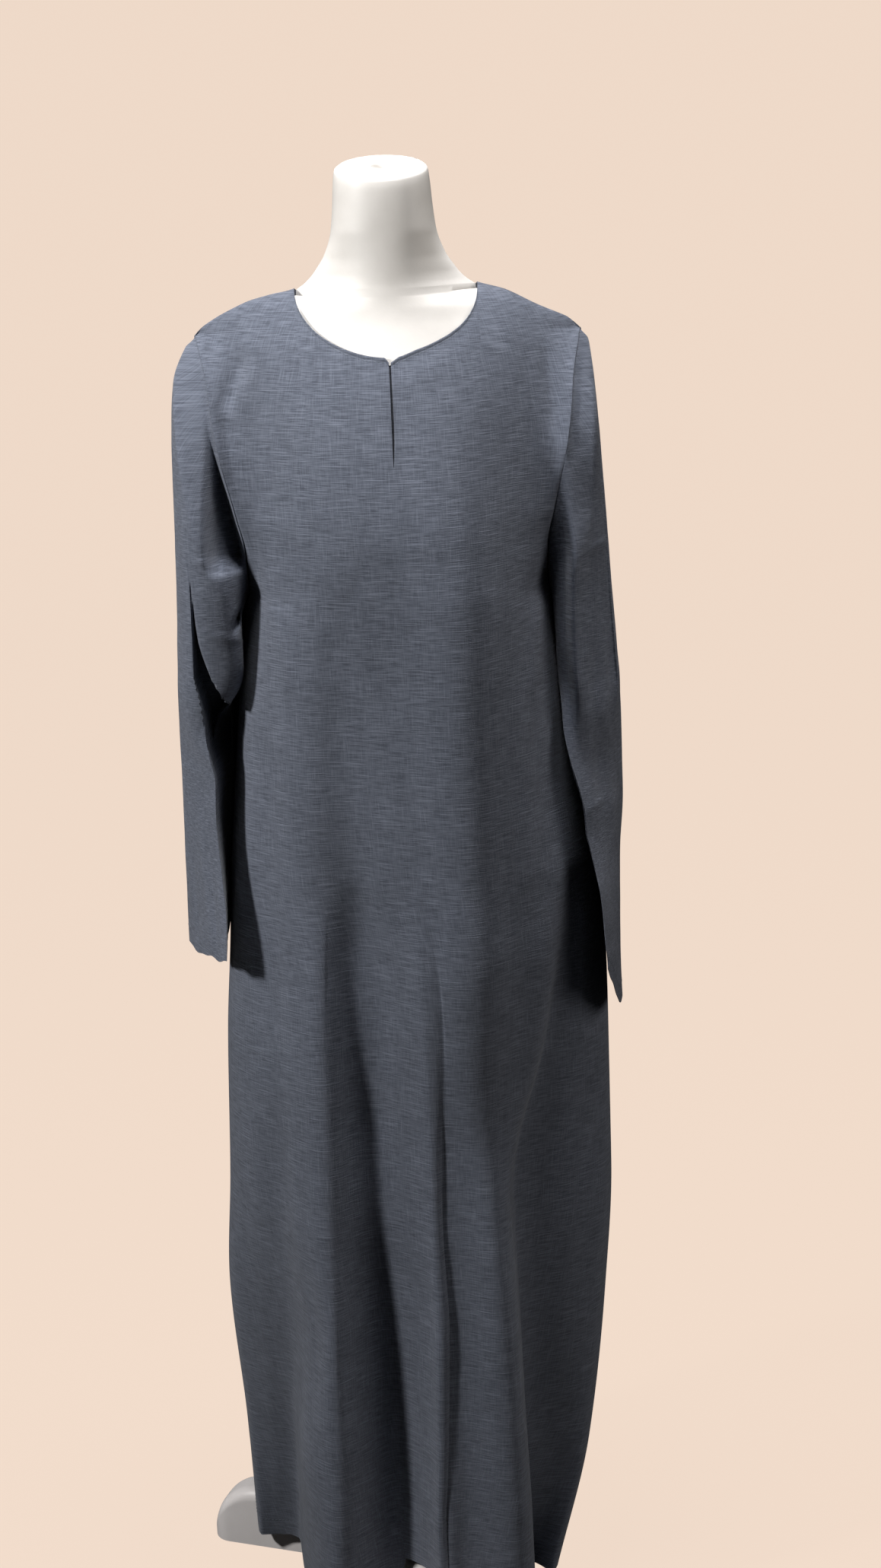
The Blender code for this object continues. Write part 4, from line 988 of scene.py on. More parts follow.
def right_sleeve_folds(points, facing):
    """How far back the front of the wearer's right sleeve is folded in."""
    far = -points[..., 0]
    z = points[..., 2]
    strip = along_table(STRIP_EDGE["right"], z.ravel()).reshape(z.shape)
    panel = along_table(PANEL_EDGE, z.ravel()).reshape(z.shape)
    deep = along_table(HOLLOW_DEPTH, z.ravel()).reshape(z.shape)
    before, after = HOLLOW_BANK_OUT
    hollow = 1.0 - ease(strip - HOLLOW_BANK_IN, strip, far)
    back = deep * (hollow * ease(panel - before, panel + after, far))
    bank = along_table(VALLEY_BANK, z.ravel()).reshape(z.shape)
    depth = along_table(VALLEY_DEPTH, z.ravel()).reshape(z.shape)
    seam = armhole("half_width", z.ravel(), -np.ones(z.size)).reshape(z.shape)
    trough = 1.0 - ease(bank - VALLEY_BANK_OUT, bank, far)
    back += depth * ease(0.0, VALLEY_BANK_IN, far - seam) * trough
    (x0, z0), (x1, z1) = HOLLOW_CORNER
    length = math.hypot(x1 - x0, z1 - z0)
    aside = ((points[..., 0] - x0) * (z1 - z0) - (z - z0) * (x1 - x0)) / length
    inside = ease(*POCKET_OPENS, z) * (1.0 - ease(*POCKET_CLOSES, z))
    back += POCKET_DEPTH * ease(0.0, POCKET_BANK, -aside) * inside
    return back * facing


def sleeve_form(name, angles, x, y, z):
    """The sleeve's section as it hangs: its depth in front, its strip and its back."""
    side = SLEEVE_SIDE[name]
    far = side * x

    def at(column):
        return from_table(SLEEVES[name], SLEEVE_COLUMNS, column, z)

    share = along_table(SLEEVE_FRONT[name], z)
    y = np.where(y < 0, y * share, y)
    if name == "left":
        first, last, left_over = INNER_FALL
        across = (far - at("inner")) / (at("outer") - at("inner"))
        low, full, fading, high = FALL_HEIGHTS
        amount = ease(low, full, z) * (1.0 - ease(fading, high, z))
        fall = (1.0 - left_over) * (1.0 - ease(first, last, across)) * amount
        y = np.where(y < 0, y * (1.0 - fall), y)
        begins, is_flat, turns, ends = FLAT_FRONT
        flat = ease(begins, is_flat, across) * (1.0 - ease(turns, ends, across)) * amount
        near, off = FLAT_DEPTH
        plane = -at("front") * share * (near + (off - near) * across)
        y = np.where(y < 0, y + (plane - y) * flat, y)
    y = np.where(y > 0, y * along_table(REAR_ROOM[name], z), y)
    inner_half = ease(*REACH_INSIDE, 0.5 - 0.5 * np.cos(angles))
    far = far - along_table(REAR_REACH[name], z) * ease(*REACH_BEHIND, y) * inner_half
    corner = along_table(STRIP_EDGE[name], z)
    deep = at("front") * share
    turn = STRIP_TURN[name] * math.pi
    out = np.clip(angles / turn, 0.0, 1.0)
    home = np.clip((angles - turn) / (math.pi - turn), 0.0, 1.0)
    straight = STRIP_STRAIGHT[name]
    bowed = np.sqrt(1.0 - (1.0 - out) ** 2)
    under = at("inner") - at("slant") * at("front")
    strip_far = at("outer") + (corner - at("outer")) * out + (under - corner) * home
    strip_y = -deep * (straight * out + (1.0 - straight) * bowed) * (1.0 - home)
    amount = (1.0 - ease(*STRIP_TOP[name], z)) * (angles < math.pi)
    far = far + (strip_far - far) * amount
    y = y + (strip_y - y) * amount
    return side * far, y


def make_sleeve(name, ring_out, material):
    """One sleeve: its ring of points at the armhole, carried down to the cuff."""
    start = ring_out.copy()
    count = len(start)
    half = count // 2
    length = np.linalg.norm(np.diff(np.vstack([start, start[:1]]), axis=0), axis=1)
    angles = np.empty(count)
    front = np.concatenate([[0.0], np.cumsum(length[:half])])
    rear = np.concatenate([[0.0], np.cumsum(length[half:])])
    angles[:half + 1] = math.pi * front / front[-1]
    angles[half:] = math.pi + math.pi * rear[:-1] / rear[-1]
    rows = SLEEVE_RINGS * SLEEVE_ROWS_FINER
    outer = np.empty((rows + 1, count, 3))
    outer[0] = start
    wave = CUFF_WAVE * sum(part * np.sin(waves * angles + start_at)
                           for waves, start_at, part in CUFF_WAVES)
    for r in range(1, rows + 1):
        t = (r / rows) ** SLEEVE_CLOSER
        inside = 0.5 - 0.5 * np.cos(angles)
        cuff = CUFF_OUTER_Z[name] + (CUFF_INNER_Z[name] - CUFF_OUTER_Z[name]) * inside + wave
        z = start[:, 2] + (cuff - start[:, 2]) * t
        x, y = sleeve_surface(name, angles, z)
        x, y = sleeve_form(name, angles, x, y, z)
        outside, under, ahead = SLEEVE_SETTLE
        settle = outside + under * inside + ahead * np.sin(angles) ** 2
        settled = ease(0.0, settle, start[:, 2] - z)
        outer[r, :, 0] = start[:, 0] + (x - start[:, 0]) * settled
        outer[r, :, 1] = start[:, 1] + (y - start[:, 1]) * settled
        outer[r, :, 2] = z

    def inwards(grid):
        wrapped = np.concatenate([grid[:, -1:], grid, grid[:, :1]], axis=1)
        normal = normals_of(wrapped)[:, 1:-1]
        centre = grid.mean(axis=1, keepdims=True)
        if ((centre - grid)[FREE_ROWS:] * normal[FREE_ROWS:]).sum() < 0:
            normal = -normal
        return normal

    inward = inwards(outer)
    facing = ease(*SLEEVE_FACING, inward[..., 1])
    from_seam = np.linalg.norm(outer - outer[:1], axis=2)
    if name == "right":
        folds = right_sleeve_folds(outer, facing)
        outer[..., 1] += folds * ease(0.0, FOLDS_FROM_SEAM, from_seam)
    rise = crease_rise(outer, SLEEVE_CREASES[name]) * facing
    rise += unevenness(outer, SLEEVE_SEED[name])
    rise *= ease(0.0, HELD_AT_SLEEVE, from_seam)
    rise -= SEAM_DIP * np.exp(-(from_seam / SEAM_DIP_WIDTH) ** 2)
    outer = outer - inward * rise[..., None]
    inner = outer + inwards(outer) * SHELL
    inner[0] = start + inward[0] * SHELL
    ring = np.vstack([outer[0], outer[:1, 0]])
    step = np.linalg.norm(np.diff(ring, axis=0), axis=1)
    around = np.concatenate([[0.0], np.cumsum(step)])
    quads = []
    flats = []
    index = np.arange((rows + 1) * count).reshape(rows + 1, count)
    for r in range(rows):
        for j in range(count):
            k = (j + 1) % count
            corners = ((r, j, j), (r + 1, j, j), (r + 1, k, j + 1), (r, k, j + 1))
            quads.append(tuple(int(index[a, b]) for a, b, _c in corners))
            flats.append([(around[c], outer[a, b, 2], 0.0) for a, b, c in corners])
    return cloth_object(name + "_sleeve", outer.reshape(-1, 3), inner.reshape(-1, 3), quads,
                        np.array(flats), material), outer, inwards(outer)


# The rows from an edge within which its line of stitches lies.
EDGE_ROWS = 90


def line_beside_edge(grid, outward, distance):
    """The line that lies a set distance in from a grid's first row, and its outward side."""
    near = grid[:EDGE_ROWS]
    step = np.linalg.norm(np.diff(near, axis=0), axis=2)
    run = np.concatenate([np.zeros((1, near.shape[1])), np.cumsum(step, axis=0)])
    line = []
    face = []
    for c in range(near.shape[1]):
        line.append([np.interp(distance, run[:, c], near[:, c, k]) for k in range(3)])
        face.append([np.interp(distance, run[:, c], outward[:EDGE_ROWS, c, k])
                     for k in range(3)])
    return np.array(line), np.array(face)


# A stitch: its length, the pitch from one to the next, the share of the pitch before it, its
# rings and sides, the step that gives its direction, how far its middle stands up and its
# ends sink in, and its radius, with the share of that at its ends.
STITCH_LENGTH = 0.0027
STITCH_PITCH = 0.0040
STITCH_START = 0.15
STITCH_RINGS = 5
STITCH_SIDES = 6
STITCH_STEP = 0.0005
STITCH_RISE = 0.00022
STITCH_SINK = 0.00002
THREAD_RADIUS = 0.00021
THREAD_END = 0.62
SHORTEST = 1e-7


def stitches(name, lines, material):
    """A row of machine stitches along each line, each a short bowed thread."""
    points = []
    faces = []
    sides = STITCH_SIDES
    last = STITCH_RINGS - 1
    for line, face in lines:
        run = np.concatenate([[0.0], np.cumsum(np.linalg.norm(np.diff(line, axis=0), axis=1))])

        def at(values, place):
            return np.array([np.interp(place, run, values[:, k]) for k in range(3)])

        for n in range(int(run[-1] / STITCH_PITCH)):
            begin = (n + STITCH_START) * STITCH_PITCH
            first = len(points)
            for i in range(STITCH_RINGS):
                t = i / last
                here = at(line, begin + STITCH_LENGTH * t)
                out = at(face, begin + STITCH_LENGTH * t)
                out /= np.linalg.norm(out)
                ahead = at(line, begin + STITCH_LENGTH * t + STITCH_STEP) - here
                if np.linalg.norm(ahead) < SHORTEST:
                    ahead = here - at(line, begin + STITCH_LENGTH * t - STITCH_STEP)
                ahead /= np.linalg.norm(ahead)
                across = np.cross(ahead, out)
                bow = math.sin(math.pi * t)
                here = here + out * (STITCH_RISE * bow - STITCH_SINK)
                thick = THREAD_RADIUS * (THREAD_END + (1.0 - THREAD_END) * bow)
                for k in range(sides):
                    angle = 2.0 * math.pi * k / sides
                    points.append(here + thick * (math.cos(angle) * across
                                                  + math.sin(angle) * out))
            for i in range(last):
                for k in range(sides):
                    a = first + i * sides + k
                    b = first + i * sides + (k + 1) % sides
                    faces.append((a, b, b + sides, a + sides))
            faces.append(tuple(first + k for k in reversed(range(sides))))
            faces.append(tuple(first + last * sides + k for k in range(sides)))
    return plain_object(name, points, faces, material, THREAD_SMOOTH_TURN)


def plain_object(name, points, faces, material, smooth_angle):
    """A closed object whose faces are turned outwards."""
    mesh = bpy.data.meshes.new(name)
    shifted = np.asarray(points, float) + (NECK_X, NECK_Y, 0.0)
    mesh.from_pydata([tuple(p) for p in shifted], [], faces)
    mesh.update()
    tidy = bmesh.new()
    tidy.from_mesh(mesh)
    bmesh.ops.recalc_face_normals(tidy, faces=tidy.faces)
    tidy.to_mesh(mesh)
    tidy.free()
    mesh.shade_smooth()
    mesh.set_sharp_from_angle(angle=math.radians(smooth_angle))
    mesh.materials.append(material)
    made = bpy.data.objects.new(name, mesh)
    bpy.context.scene.collection.objects.link(made)
    return made


# The facing: how many rows it starts below the slit and ends below the neckline, half its
# width, and how far its near and far sides lie behind the cloth.
FACING_BELOW_SLIT = 9
FACING_BELOW_TOP = 5
FACING_HALF_WIDTH = 0.012
FACING_NEAR = 0.0004
FACING_FAR = 0.0007


def make_slit_facing(front_outer, centre, material):
    """The facing behind the slit, seen only as a dark line through it; its near-black colour is
    painted shade.
    """
    low = SLIT - FACING_BELOW_SLIT
    high = TOP - FACING_BELOW_TOP
    x = front_outer[high, :, 0]
    columns = np.nonzero(np.abs(x - x[centre]) < FACING_HALF_WIDTH)[0]
    grid = front_outer[low:high + 1, columns[0]:columns[-1] + 1]
    inward = -normals_of(grid)
    inward *= np.sign(inward[..., 1:2])
    outer = grid + inward * (SHELL + FACING_NEAR)
    inner = grid + inward * (SHELL + FACING_FAR)
    rows, width = outer.shape[:2]
    index = np.arange(rows * width).reshape(rows, width)
    quads = []
    flats = []
    for r in range(rows - 1):
        for c in range(width - 1):
            quads.append((int(index[r, c]), int(index[r, c + 1]), int(index[r + 1, c + 1]),
                          int(index[r + 1, c])))
            flats.append([(outer[a, b, 0], outer[a, b, 2], 0.0) for a, b in
                          ((r, c), (r, c + 1), (r + 1, c + 1), (r + 1, c))])
    return cloth_object("slit_facing", outer.reshape(-1, 3), inner.reshape(-1, 3), quads,
                        np.array(flats), material)


# The form's skin runs out into its shoulders: height, and how much wider its neck is. There
# its sections are pointed at the sides, and drop to the shoulders by so much. Its front is
# smoothed between two heights, so many times over.
NECK_FLARE = ((1.4445, 0.0135), (1.4510, 0.0090), (1.4600, 0.0040), (1.4750, 0.0008),
              (1.5000, 0.0))
NECK_POINTED = 2.0
NECK_DROP = 0.0045
NECK_SMOOTHED = (1.370, 1.390, 1.475, 1.500)
NECK_SMOOTHINGS = 160
FORM_SIDES = 120
# The neck's cap and the hole in it: each ring's radius, and how far it lies below the crown.
# The neck leans with its tilted top from this height up.
CAP_RINGS = ((0.0385, 0.0002), (NECK_CROWN_RADIUS, 0.0), (0.0180, 0.0), (0.0104, 0.0),
             (0.0092, 0.0004), (NECK_HOLE_RADIUS, 0.0014))
NECK_LEAN_FROM = 1.49


def smoothed_neck(rings):
    """The rings with the neck's front drawn into the chest in one soft slope."""
    low, full, fading, high = NECK_SMOOTHED
    z = rings[..., 2]
    amount = ease(low, full, z) * (1.0 - ease(fading, high, z)) * (rings[..., 1] < 0.0)
    for _ in range(NECK_SMOOTHINGS):
        between = rings.copy()
        share = (z[1:-1] - z[:-2]) / (z[2:] - z[:-2])
        between[1:-1, :, 1] = rings[:-2, :, 1] * (1.0 - share) + rings[2:, :, 1] * share
        rings = rings + 0.5 * (between - rings) * amount[..., None]
    return rings


def make_form_skin(material):
    """The form's moulded skin, on the same sections as its solid."""
    segments = FORM_SIDES
    rings = [form_ring(z, segments) for z in finer(FORM_RING_HEIGHTS, FORM_ROWS_FINER)]
    for z in finer([row[0] for row in NECK], NECK_ROWS_FINER):
        wide, front, back = (float(curve([row[0] for row in NECK], [row[k] for row in NECK], z))
                             for k in (1, 2, 3))
        wide += float(along_table(NECK_FLARE, z))
        ring = oval(wide, front, back, z, segments)
        flared = 1.0 - ease(NECK[0][0], NECK[3][0], z)
        aside = ring[:, 0] / wide
        ring[:, 1] *= np.clip(1.0 - aside ** 2, 0.0, 1.0) ** (0.5 * NECK_POINTED * flared)
        sloped = shoulder_rise(ring[:, 0]) - SHOULDER_TILT * ring[:, 0] - NECK_DROP * aside ** 2
        ring[:, 2] += sloped * flared
        rings.append(ring)
    rings = list(smoothed_neck(np.array(rings)))
    crown = NECK_TOP_Z + NECK_CROWN
    cap = [(radius, crown - below) for radius, below in CAP_RINGS]
    for radius, z in cap + [(NECK_HOLE_RADIUS, NECK_TOP_Z - NECK_HOLE_DEPTH)]:
        rings.append(oval(radius, radius, radius, z, segments))
    points = np.array(rings).reshape(-1, 3)
    lean = ease(NECK_LEAN_FROM, NECK_TOP_Z, points[:, 2])
    points[:, 2] += NECK_TOP_TILT * points[:, 1] * lean
    down = FORM_LEAN * np.clip(1.0 - points[:, 2] / CHEST_Z, 0.0, 1.0)
    points[:, 0] -= NECK_X * down
    points[:, 1] -= NECK_Y * down
    faces = []
    for r in range(len(rings) - 1):
        for k in range(segments):
            n = (k + 1) % segments
            faces.append((r * segments + k, r * segments + n,
                          (r + 1) * segments + n, (r + 1) * segments + k))
    faces.append(tuple(reversed(range(segments))))
    last = (len(rings) - 1) * segments
    faces.append(tuple(last + k for k in range(segments)))
    return plain_object("form_skin", points, faces, material, SMOOTH_TURN)


# A leg's nose never gets thinner than these shares, squared, of its height and its width,
# and its edges' rounding takes up this share of them at most. Its section has so many points
# to a rounding, and its nose so many stations.
NOSE_LEAST_HEIGHT = 0.02
NOSE_LEAST_WIDTH = 0.03
ROUNDING_MOST = 0.9
ROUNDING_POINTS = 12
NOSE_STEPS = 18
# The hub: its sides, the softening of its rim with its points and where they start, and the
# room round the pole.
HUB_SIDES = 96
RIM_SOFTNESS = 0.006
RIM_POINTS = 7
RIM_START = 0.2
POLE_ROOM = 0.007


def leg_section(reach, arcs):
    """The leg's cross-section at a distance from the base's middle, as (aside, z)."""
    past_top = max(0.0, (reach - (LEG_REACH - LEG_NOSE)) / LEG_NOSE)
    past_side = max(0.0, (reach - (LEG_REACH - LEG_HALF_WIDTH)) / LEG_HALF_WIDTH)
    height = LEG_HEIGHT * math.sqrt(max(1.0 - past_top ** 2, NOSE_LEAST_HEIGHT))
    half = LEG_HALF_WIDTH * math.sqrt(max(1.0 - past_side ** 2, NOSE_LEAST_WIDTH))
    round_off = min(LEG_ROUNDING, half * ROUNDING_MOST, height * ROUNDING_MOST)
    outline = [(-half, 0.0), (half, 0.0)]
    for k in range(arcs):
        angle = math.pi / 2 * k / (arcs - 1)
        outline.append((half - round_off + round_off * math.cos(angle),
                        height - round_off + round_off * math.sin(angle)))
    for k in range(arcs):
        angle = math.pi / 2 * (1 + k / (arcs - 1))
        outline.append((-half + round_off + round_off * math.cos(angle),
                        height - round_off + round_off * math.sin(angle)))
    return outline


def linked(name, built):
    """An object of the mesh that was built, put into the scene."""
    mesh = bpy.data.meshes.new(name)
    built.to_mesh(mesh)
    built.free()
    made = bpy.data.objects.new(name, mesh)
    bpy.context.scene.collection.objects.link(made)
    return made


def make_leg(azimuth):
    """One leg from the base's middle out to its rounded nose."""
    turn = math.radians(azimuth)
    along = Vector((math.cos(turn), math.sin(turn), 0.0))
    aside = Vector((-math.sin(turn), math.cos(turn), 0.0))
    flat = LEG_REACH - LEG_NOSE
    end = math.asin(NOSE_STATIONS[-1])
    stations = [0.0, flat / 2.0]
    stations += [flat + LEG_NOSE * math.sin(end * k / NOSE_STEPS) for k in range(NOSE_STEPS + 1)]
    built = bmesh.new()
    rings = []
    for reach in stations:
        rings.append([built.verts.new(along * reach + aside * s + Vector((0, 0, z)))
                      for s, z in leg_section(reach, ROUNDING_POINTS)])
    for a, b in zip(rings, rings[1:]):
        for k in range(len(a)):
            n = (k + 1) % len(a)
            built.faces.new((a[k], a[n], b[n], b[k]))
    built.faces.new(rings[0])
    built.faces.new(reversed(rings[-1]))
    bmesh.ops.recalc_face_normals(built, faces=built.faces)
    return linked("leg_shape", built)


def make_base_moulding(material):
    """Three rounded legs and a hub with a softened rim, joined as one moulding."""
    segments = HUB_SIDES
    soft = RIM_SOFTNESS
    profile = [(HUB_RADIUS, 0.0), (HUB_RADIUS, HUB_HEIGHT - soft)]
    profile += [(HUB_RADIUS - soft + soft * math.cos(a), HUB_HEIGHT - soft + soft * math.sin(a))
                for a in np.linspace(RIM_START, math.pi / 2, RIM_POINTS)]
    profile += [(POLE_RADIUS + POLE_ROOM, HUB_HEIGHT)]
    built = bmesh.new()
    rings = []
    for radius, z in profile:
        rings.append([built.verts.new((radius * math.cos(2 * math.pi * k / segments),
                                       radius * math.sin(2 * math.pi * k / segments), z))
                      for k in range(segments)])
    for a, b in zip(rings, rings[1:]):
        for k in range(segments):
            n = (k + 1) % segments
            built.faces.new((a[k], a[n], b[n], b[k]))
    built.faces.new(reversed(rings[0]))
    built.faces.new(rings[-1])
    hub = linked("hub_shape", built)
    legs = [make_leg(azimuth) for azimuth in LEG_AZIMUTHS]
    for leg in legs:
        join = hub.modifiers.new("join_leg", "BOOLEAN")
        join.operation = "UNION"
        join.solver = "EXACT"
        join.object = leg
    bpy.context.view_layer.update()
    whole = hub.evaluated_get(bpy.context.evaluated_depsgraph_get())
    mesh = bpy.data.meshes.new_from_object(whole)
    for old in legs + [hub]:
        bpy.data.objects.remove(old, do_unlink=True)
    mesh.name = "stand_base"
    mesh.materials.clear()
    mesh.materials.append(material)
    mesh.shade_smooth()
    mesh.set_sharp_from_angle(angle=math.radians(BASE_SMOOTH_TURN))
    made = bpy.data.objects.new("stand_base", mesh)
    bpy.context.scene.collection.objects.link(made)
    return made


# Node groups and materials

def add(tree, kind, inputs=(), **settings):
    """A node, with its inputs given as plain values or as other nodes' outputs."""
    made = tree.nodes.new(kind)
    for key, value in settings.items():
        setattr(made, key, value)
    for key, value in dict(inputs).items():
        if isinstance(value, bpy.types.NodeSocket):
            tree.links.new(value, made.inputs[key])
        else:
            made.inputs[key].default_value = value
    return made


def new_group(name, sockets_in, sockets_out):
    """A node group with its named sockets, and its two end nodes."""
    group = bpy.data.node_groups.new(name, "ShaderNodeTree")
    for label, kind in sockets_in:
        group.interface.new_socket(label, in_out="INPUT", socket_type=kind)
    for label, kind in sockets_out:
        group.interface.new_socket(label, in_out="OUTPUT", socket_type=kind)
    return group, group.nodes.new("NodeGroupInput"), group.nodes.new("NodeGroupOutput")


YARN_ROUGHNESS = 0.55
YARN_ASIDE = 0.7


def stretched(tree, place, across, up, shift, detail):
    """Noise drawn out along the yarn, from the flat cloth's places in metres."""
    scaled = add(tree, "ShaderNodeMapping", {"Vector": place, "Scale": (across, up, 1.0),
                                             "Location": (shift, shift * YARN_ASIDE, 0.0)})
    made = add(tree, "ShaderNodeTexNoise", {"Vector": scaled.outputs[0], "Scale": 1.0,
                                            "Detail": detail,
                                            "Roughness": YARN_ROUGHNESS},
               noise_dimensions="2D")
    return made.outputs[0]


def spread(tree, value, from_low, from_high, to_low, to_high):
    """A value taken from one range over to another, held at the ends."""
    return add(tree, "ShaderNodeMapRange", {"Value": value, "From Min": from_low,
                                            "From Max": from_high, "To Min": to_low,
                                            "To Max": to_high}).outputs[0]


def total(tree, values):
    """The sum of several values."""
    result = values[0]
    for value in values[1:]:
        result = add(tree, "ShaderNodeMath", {0: result, 1: value}, operation="ADD").outputs[0]
    return result


# The weave's yarns and slubs: how many of each lie in a metre, across and up, where its noise
# begins and how fine it is, the noise's range that counts, and how much darker and lighter it
# makes the cloth. The first three stand up from it as well.
YARNS = (
    ("weft", 46.0, 1050.0, 0.0, 2.0, 0.30, 0.70, -0.34, 0.34),
    ("warp", 980.0, 60.0, 5.3, 1.0, 0.30, 0.70, -0.16, 0.16),
    ("slubs", 26.0, 760.0, 9.1, 0.0, 0.66, 0.80, 0.0, 0.50),
    ("dashes", 80.0, 900.0, 2.4, 0.0, 0.24, 0.34, -0.34, 0.0),
    ("uprights", 700.0, 30.0, 7.7, 0.0, 0.68, 0.82, 0.0, 0.26),
    ("broad", 9.0, 16.0, 1.9, 2.0, 0.30, 0.70, -0.05, 0.05),
)
YARNS_RAISED = 3
YARN_MIDDLE = 0.44


def slub_weave_group():
    """Thick and thin yarns: how light the yarn is at each place, and how high it stands."""
    group, begin, end = new_group("slub_weave", (("Place", "NodeSocketVector"),),
                                  (("Yarn", "NodeSocketFloat"), ("Height", "NodeSocketFloat")))
    place = begin.outputs["Place"]
    parts = [spread(group, stretched(group, place, *yarn[1:5]), *yarn[5:]) for yarn in YARNS]
    light = add(group, "ShaderNodeMath", {0: total(group, parts), 1: YARN_MIDDLE},
                operation="ADD", use_clamp=True)
    group.links.new(light.outputs[0], end.inputs["Yarn"])
    group.links.new(total(group, parts[:YARNS_RAISED]), end.inputs["Height"])
    return group


# The mottle and the orange peel of a moulding: how many in a metre, how fine, how rough. The
# mottle's range that counts, and the peel's share of the height.
MOTTLE = {"Scale": 22.0, "Detail": 4.0, "Roughness": 0.6}
PEEL = {"Scale": 420.0, "Detail": 2.0, "Roughness": 0.5}
MOTTLE_RANGE = (0.3, 0.7)
PEEL_SHARE = 0.35


def moulded_grain_group():
    """The faint mottle and orange-peel surface of painted moulded plastic."""
    group, begin, end = new_group("moulded_grain", (("Place", "NodeSocketVector"),),
                                  (("Mottle", "NodeSocketFloat"), ("Height", "NodeSocketFloat")))
    place = begin.outputs["Place"]
    broad = add(group, "ShaderNodeTexNoise", {"Vector": place, **MOTTLE})
    fine = add(group, "ShaderNodeTexNoise", {"Vector": place, **PEEL})
    mottle = spread(group, broad.outputs[0], *MOTTLE_RANGE, 0.0, 1.0)
    group.links.new(mottle, end.inputs["Mottle"])
    both = add(group, "ShaderNodeMath", {0: fine.outputs[0], 1: PEEL_SHARE,
                                         2: broad.outputs[0]}, operation="MULTIPLY_ADD")
    group.links.new(both.outputs[0], end.inputs["Height"])
    return group


def new_material(name):
    """A material with its node tree and its Principled shader."""
    made = bpy.data.materials.new(name)
    made.use_nodes = True
    tree = made.node_tree
    return made, tree, tree.nodes["Principled BSDF"]


def mixed(tree, share, low, high):
    """The colour between two others, by a share."""
    made = add(tree, "ShaderNodeMix", {}, data_type="RGBA")
    made.inputs["A"].default_value = (*low, 1.0)
    made.inputs["B"].default_value = (*high, 1.0)
    tree.links.new(share, made.inputs["Factor"])
    return made.outputs["Result"]


# The cloth's surface: how rough it is between the yarns and on them, how far the yarns stand
# up and how strongly that shows, its gloss, and how rough its sheen is.
CLOTH_ROUGH = (0.92, 0.78)
YARN_BUMP = {"Distance": 0.00022, "Strength": 0.6}
CLOTH_GLOSS = 0.22
SHEEN_ROUGH = 0.55


def cloth_material(name, weave, dark, light, sheen):
    """Cloth of the slub weave, laid out on its flat piece."""
    made, tree, shader = new_material(name)
    place = add(tree, "ShaderNodeAttribute", attribute_name="flat")
    woven = add(tree, "ShaderNodeGroup", node_tree=weave)
    tree.links.new(place.outputs["Vector"], woven.inputs["Place"])
    tree.links.new(mixed(tree, woven.outputs["Yarn"], dark, light), shader.inputs["Base Color"])
    rough = spread(tree, woven.outputs["Yarn"], 0.0, 1.0, *CLOTH_ROUGH)
    tree.links.new(rough, shader.inputs["Roughness"])
    bump = add(tree, "ShaderNodeBump", {"Height": woven.outputs["Height"], **YARN_BUMP})
    tree.links.new(bump.outputs["Normal"], shader.inputs["Normal"])
    shader.inputs["Specular IOR Level"].default_value = CLOTH_GLOSS
    shader.inputs["Sheen Weight"].default_value = sheen
    shader.inputs["Sheen Roughness"].default_value = SHEEN_ROUGH
    return made


# A moulding's surface: how much smoother and rougher it is over its mottle, how high its
# orange peel stands and how strongly that shows.
MOTTLE_SMOOTHER = 0.05
MOTTLE_ROUGHER = 0.07
PEEL_BUMP = {"Distance": 0.0006, "Strength": 0.25}


def moulded_material(name, grain, low, high, roughness):
    """Painted moulded plastic with the moulding's grain."""
    made, tree, shader = new_material(name)
    place = add(tree, "ShaderNodeTexCoord")
    mould = add(tree, "ShaderNodeGroup", node_tree=grain)
    tree.links.new(place.outputs["Object"], mould.inputs["Place"])
    tree.links.new(mixed(tree, mould.outputs["Mottle"], low, high), shader.inputs["Base Color"])
    rough = spread(tree, mould.outputs["Mottle"], 0.0, 1.0, roughness - MOTTLE_SMOOTHER,
                   roughness + MOTTLE_ROUGHER)
    tree.links.new(rough, shader.inputs["Roughness"])
    bump = add(tree, "ShaderNodeBump", {"Height": mould.outputs["Height"], **PEEL_BUMP})
    tree.links.new(bump.outputs["Normal"], shader.inputs["Normal"])
    return made


# The steel's drawing marks, in a metre round and along, its darkest and lightest colour, and
# how rough it is; the thread's twists in a metre, its two colours and how rough it is.
MARKS = (900.0, 900.0, 12.0)
MARKS_DETAIL = 3.0
STEEL_DARK = (0.42, 0.42, 0.43)
STEEL_LIGHT = (0.62, 0.62, 0.63)
STEEL_ROUGH = (0.3, 0.7, 0.24, 0.40)
TWISTS = 900.0
THREAD_DARK = (0.085, 0.097, 0.117)
THREAD_LIGHT = (0.165, 0.182, 0.208)
THREAD_ROUGH = 0.75


def steel_material(name):
    """Drawn steel tube, with its faint lengthwise marks."""
    made, tree, shader = new_material(name)
    place = add(tree, "ShaderNodeTexCoord")
    scaled = add(tree, "ShaderNodeMapping", {"Vector": place.outputs["Object"],
                                             "Scale": MARKS})
    lines = add(tree, "ShaderNodeTexNoise", {"Vector": scaled.outputs[0], "Scale": 1.0,
                                             "Detail": MARKS_DETAIL})
    tree.links.new(mixed(tree, lines.outputs[0], STEEL_DARK, STEEL_LIGHT),
                   shader.inputs["Base Color"])
    tree.links.new(spread(tree, lines.outputs[0], *STEEL_ROUGH), shader.inputs["Roughness"])
    shader.inputs["Metallic"].default_value = 1.0
    return made


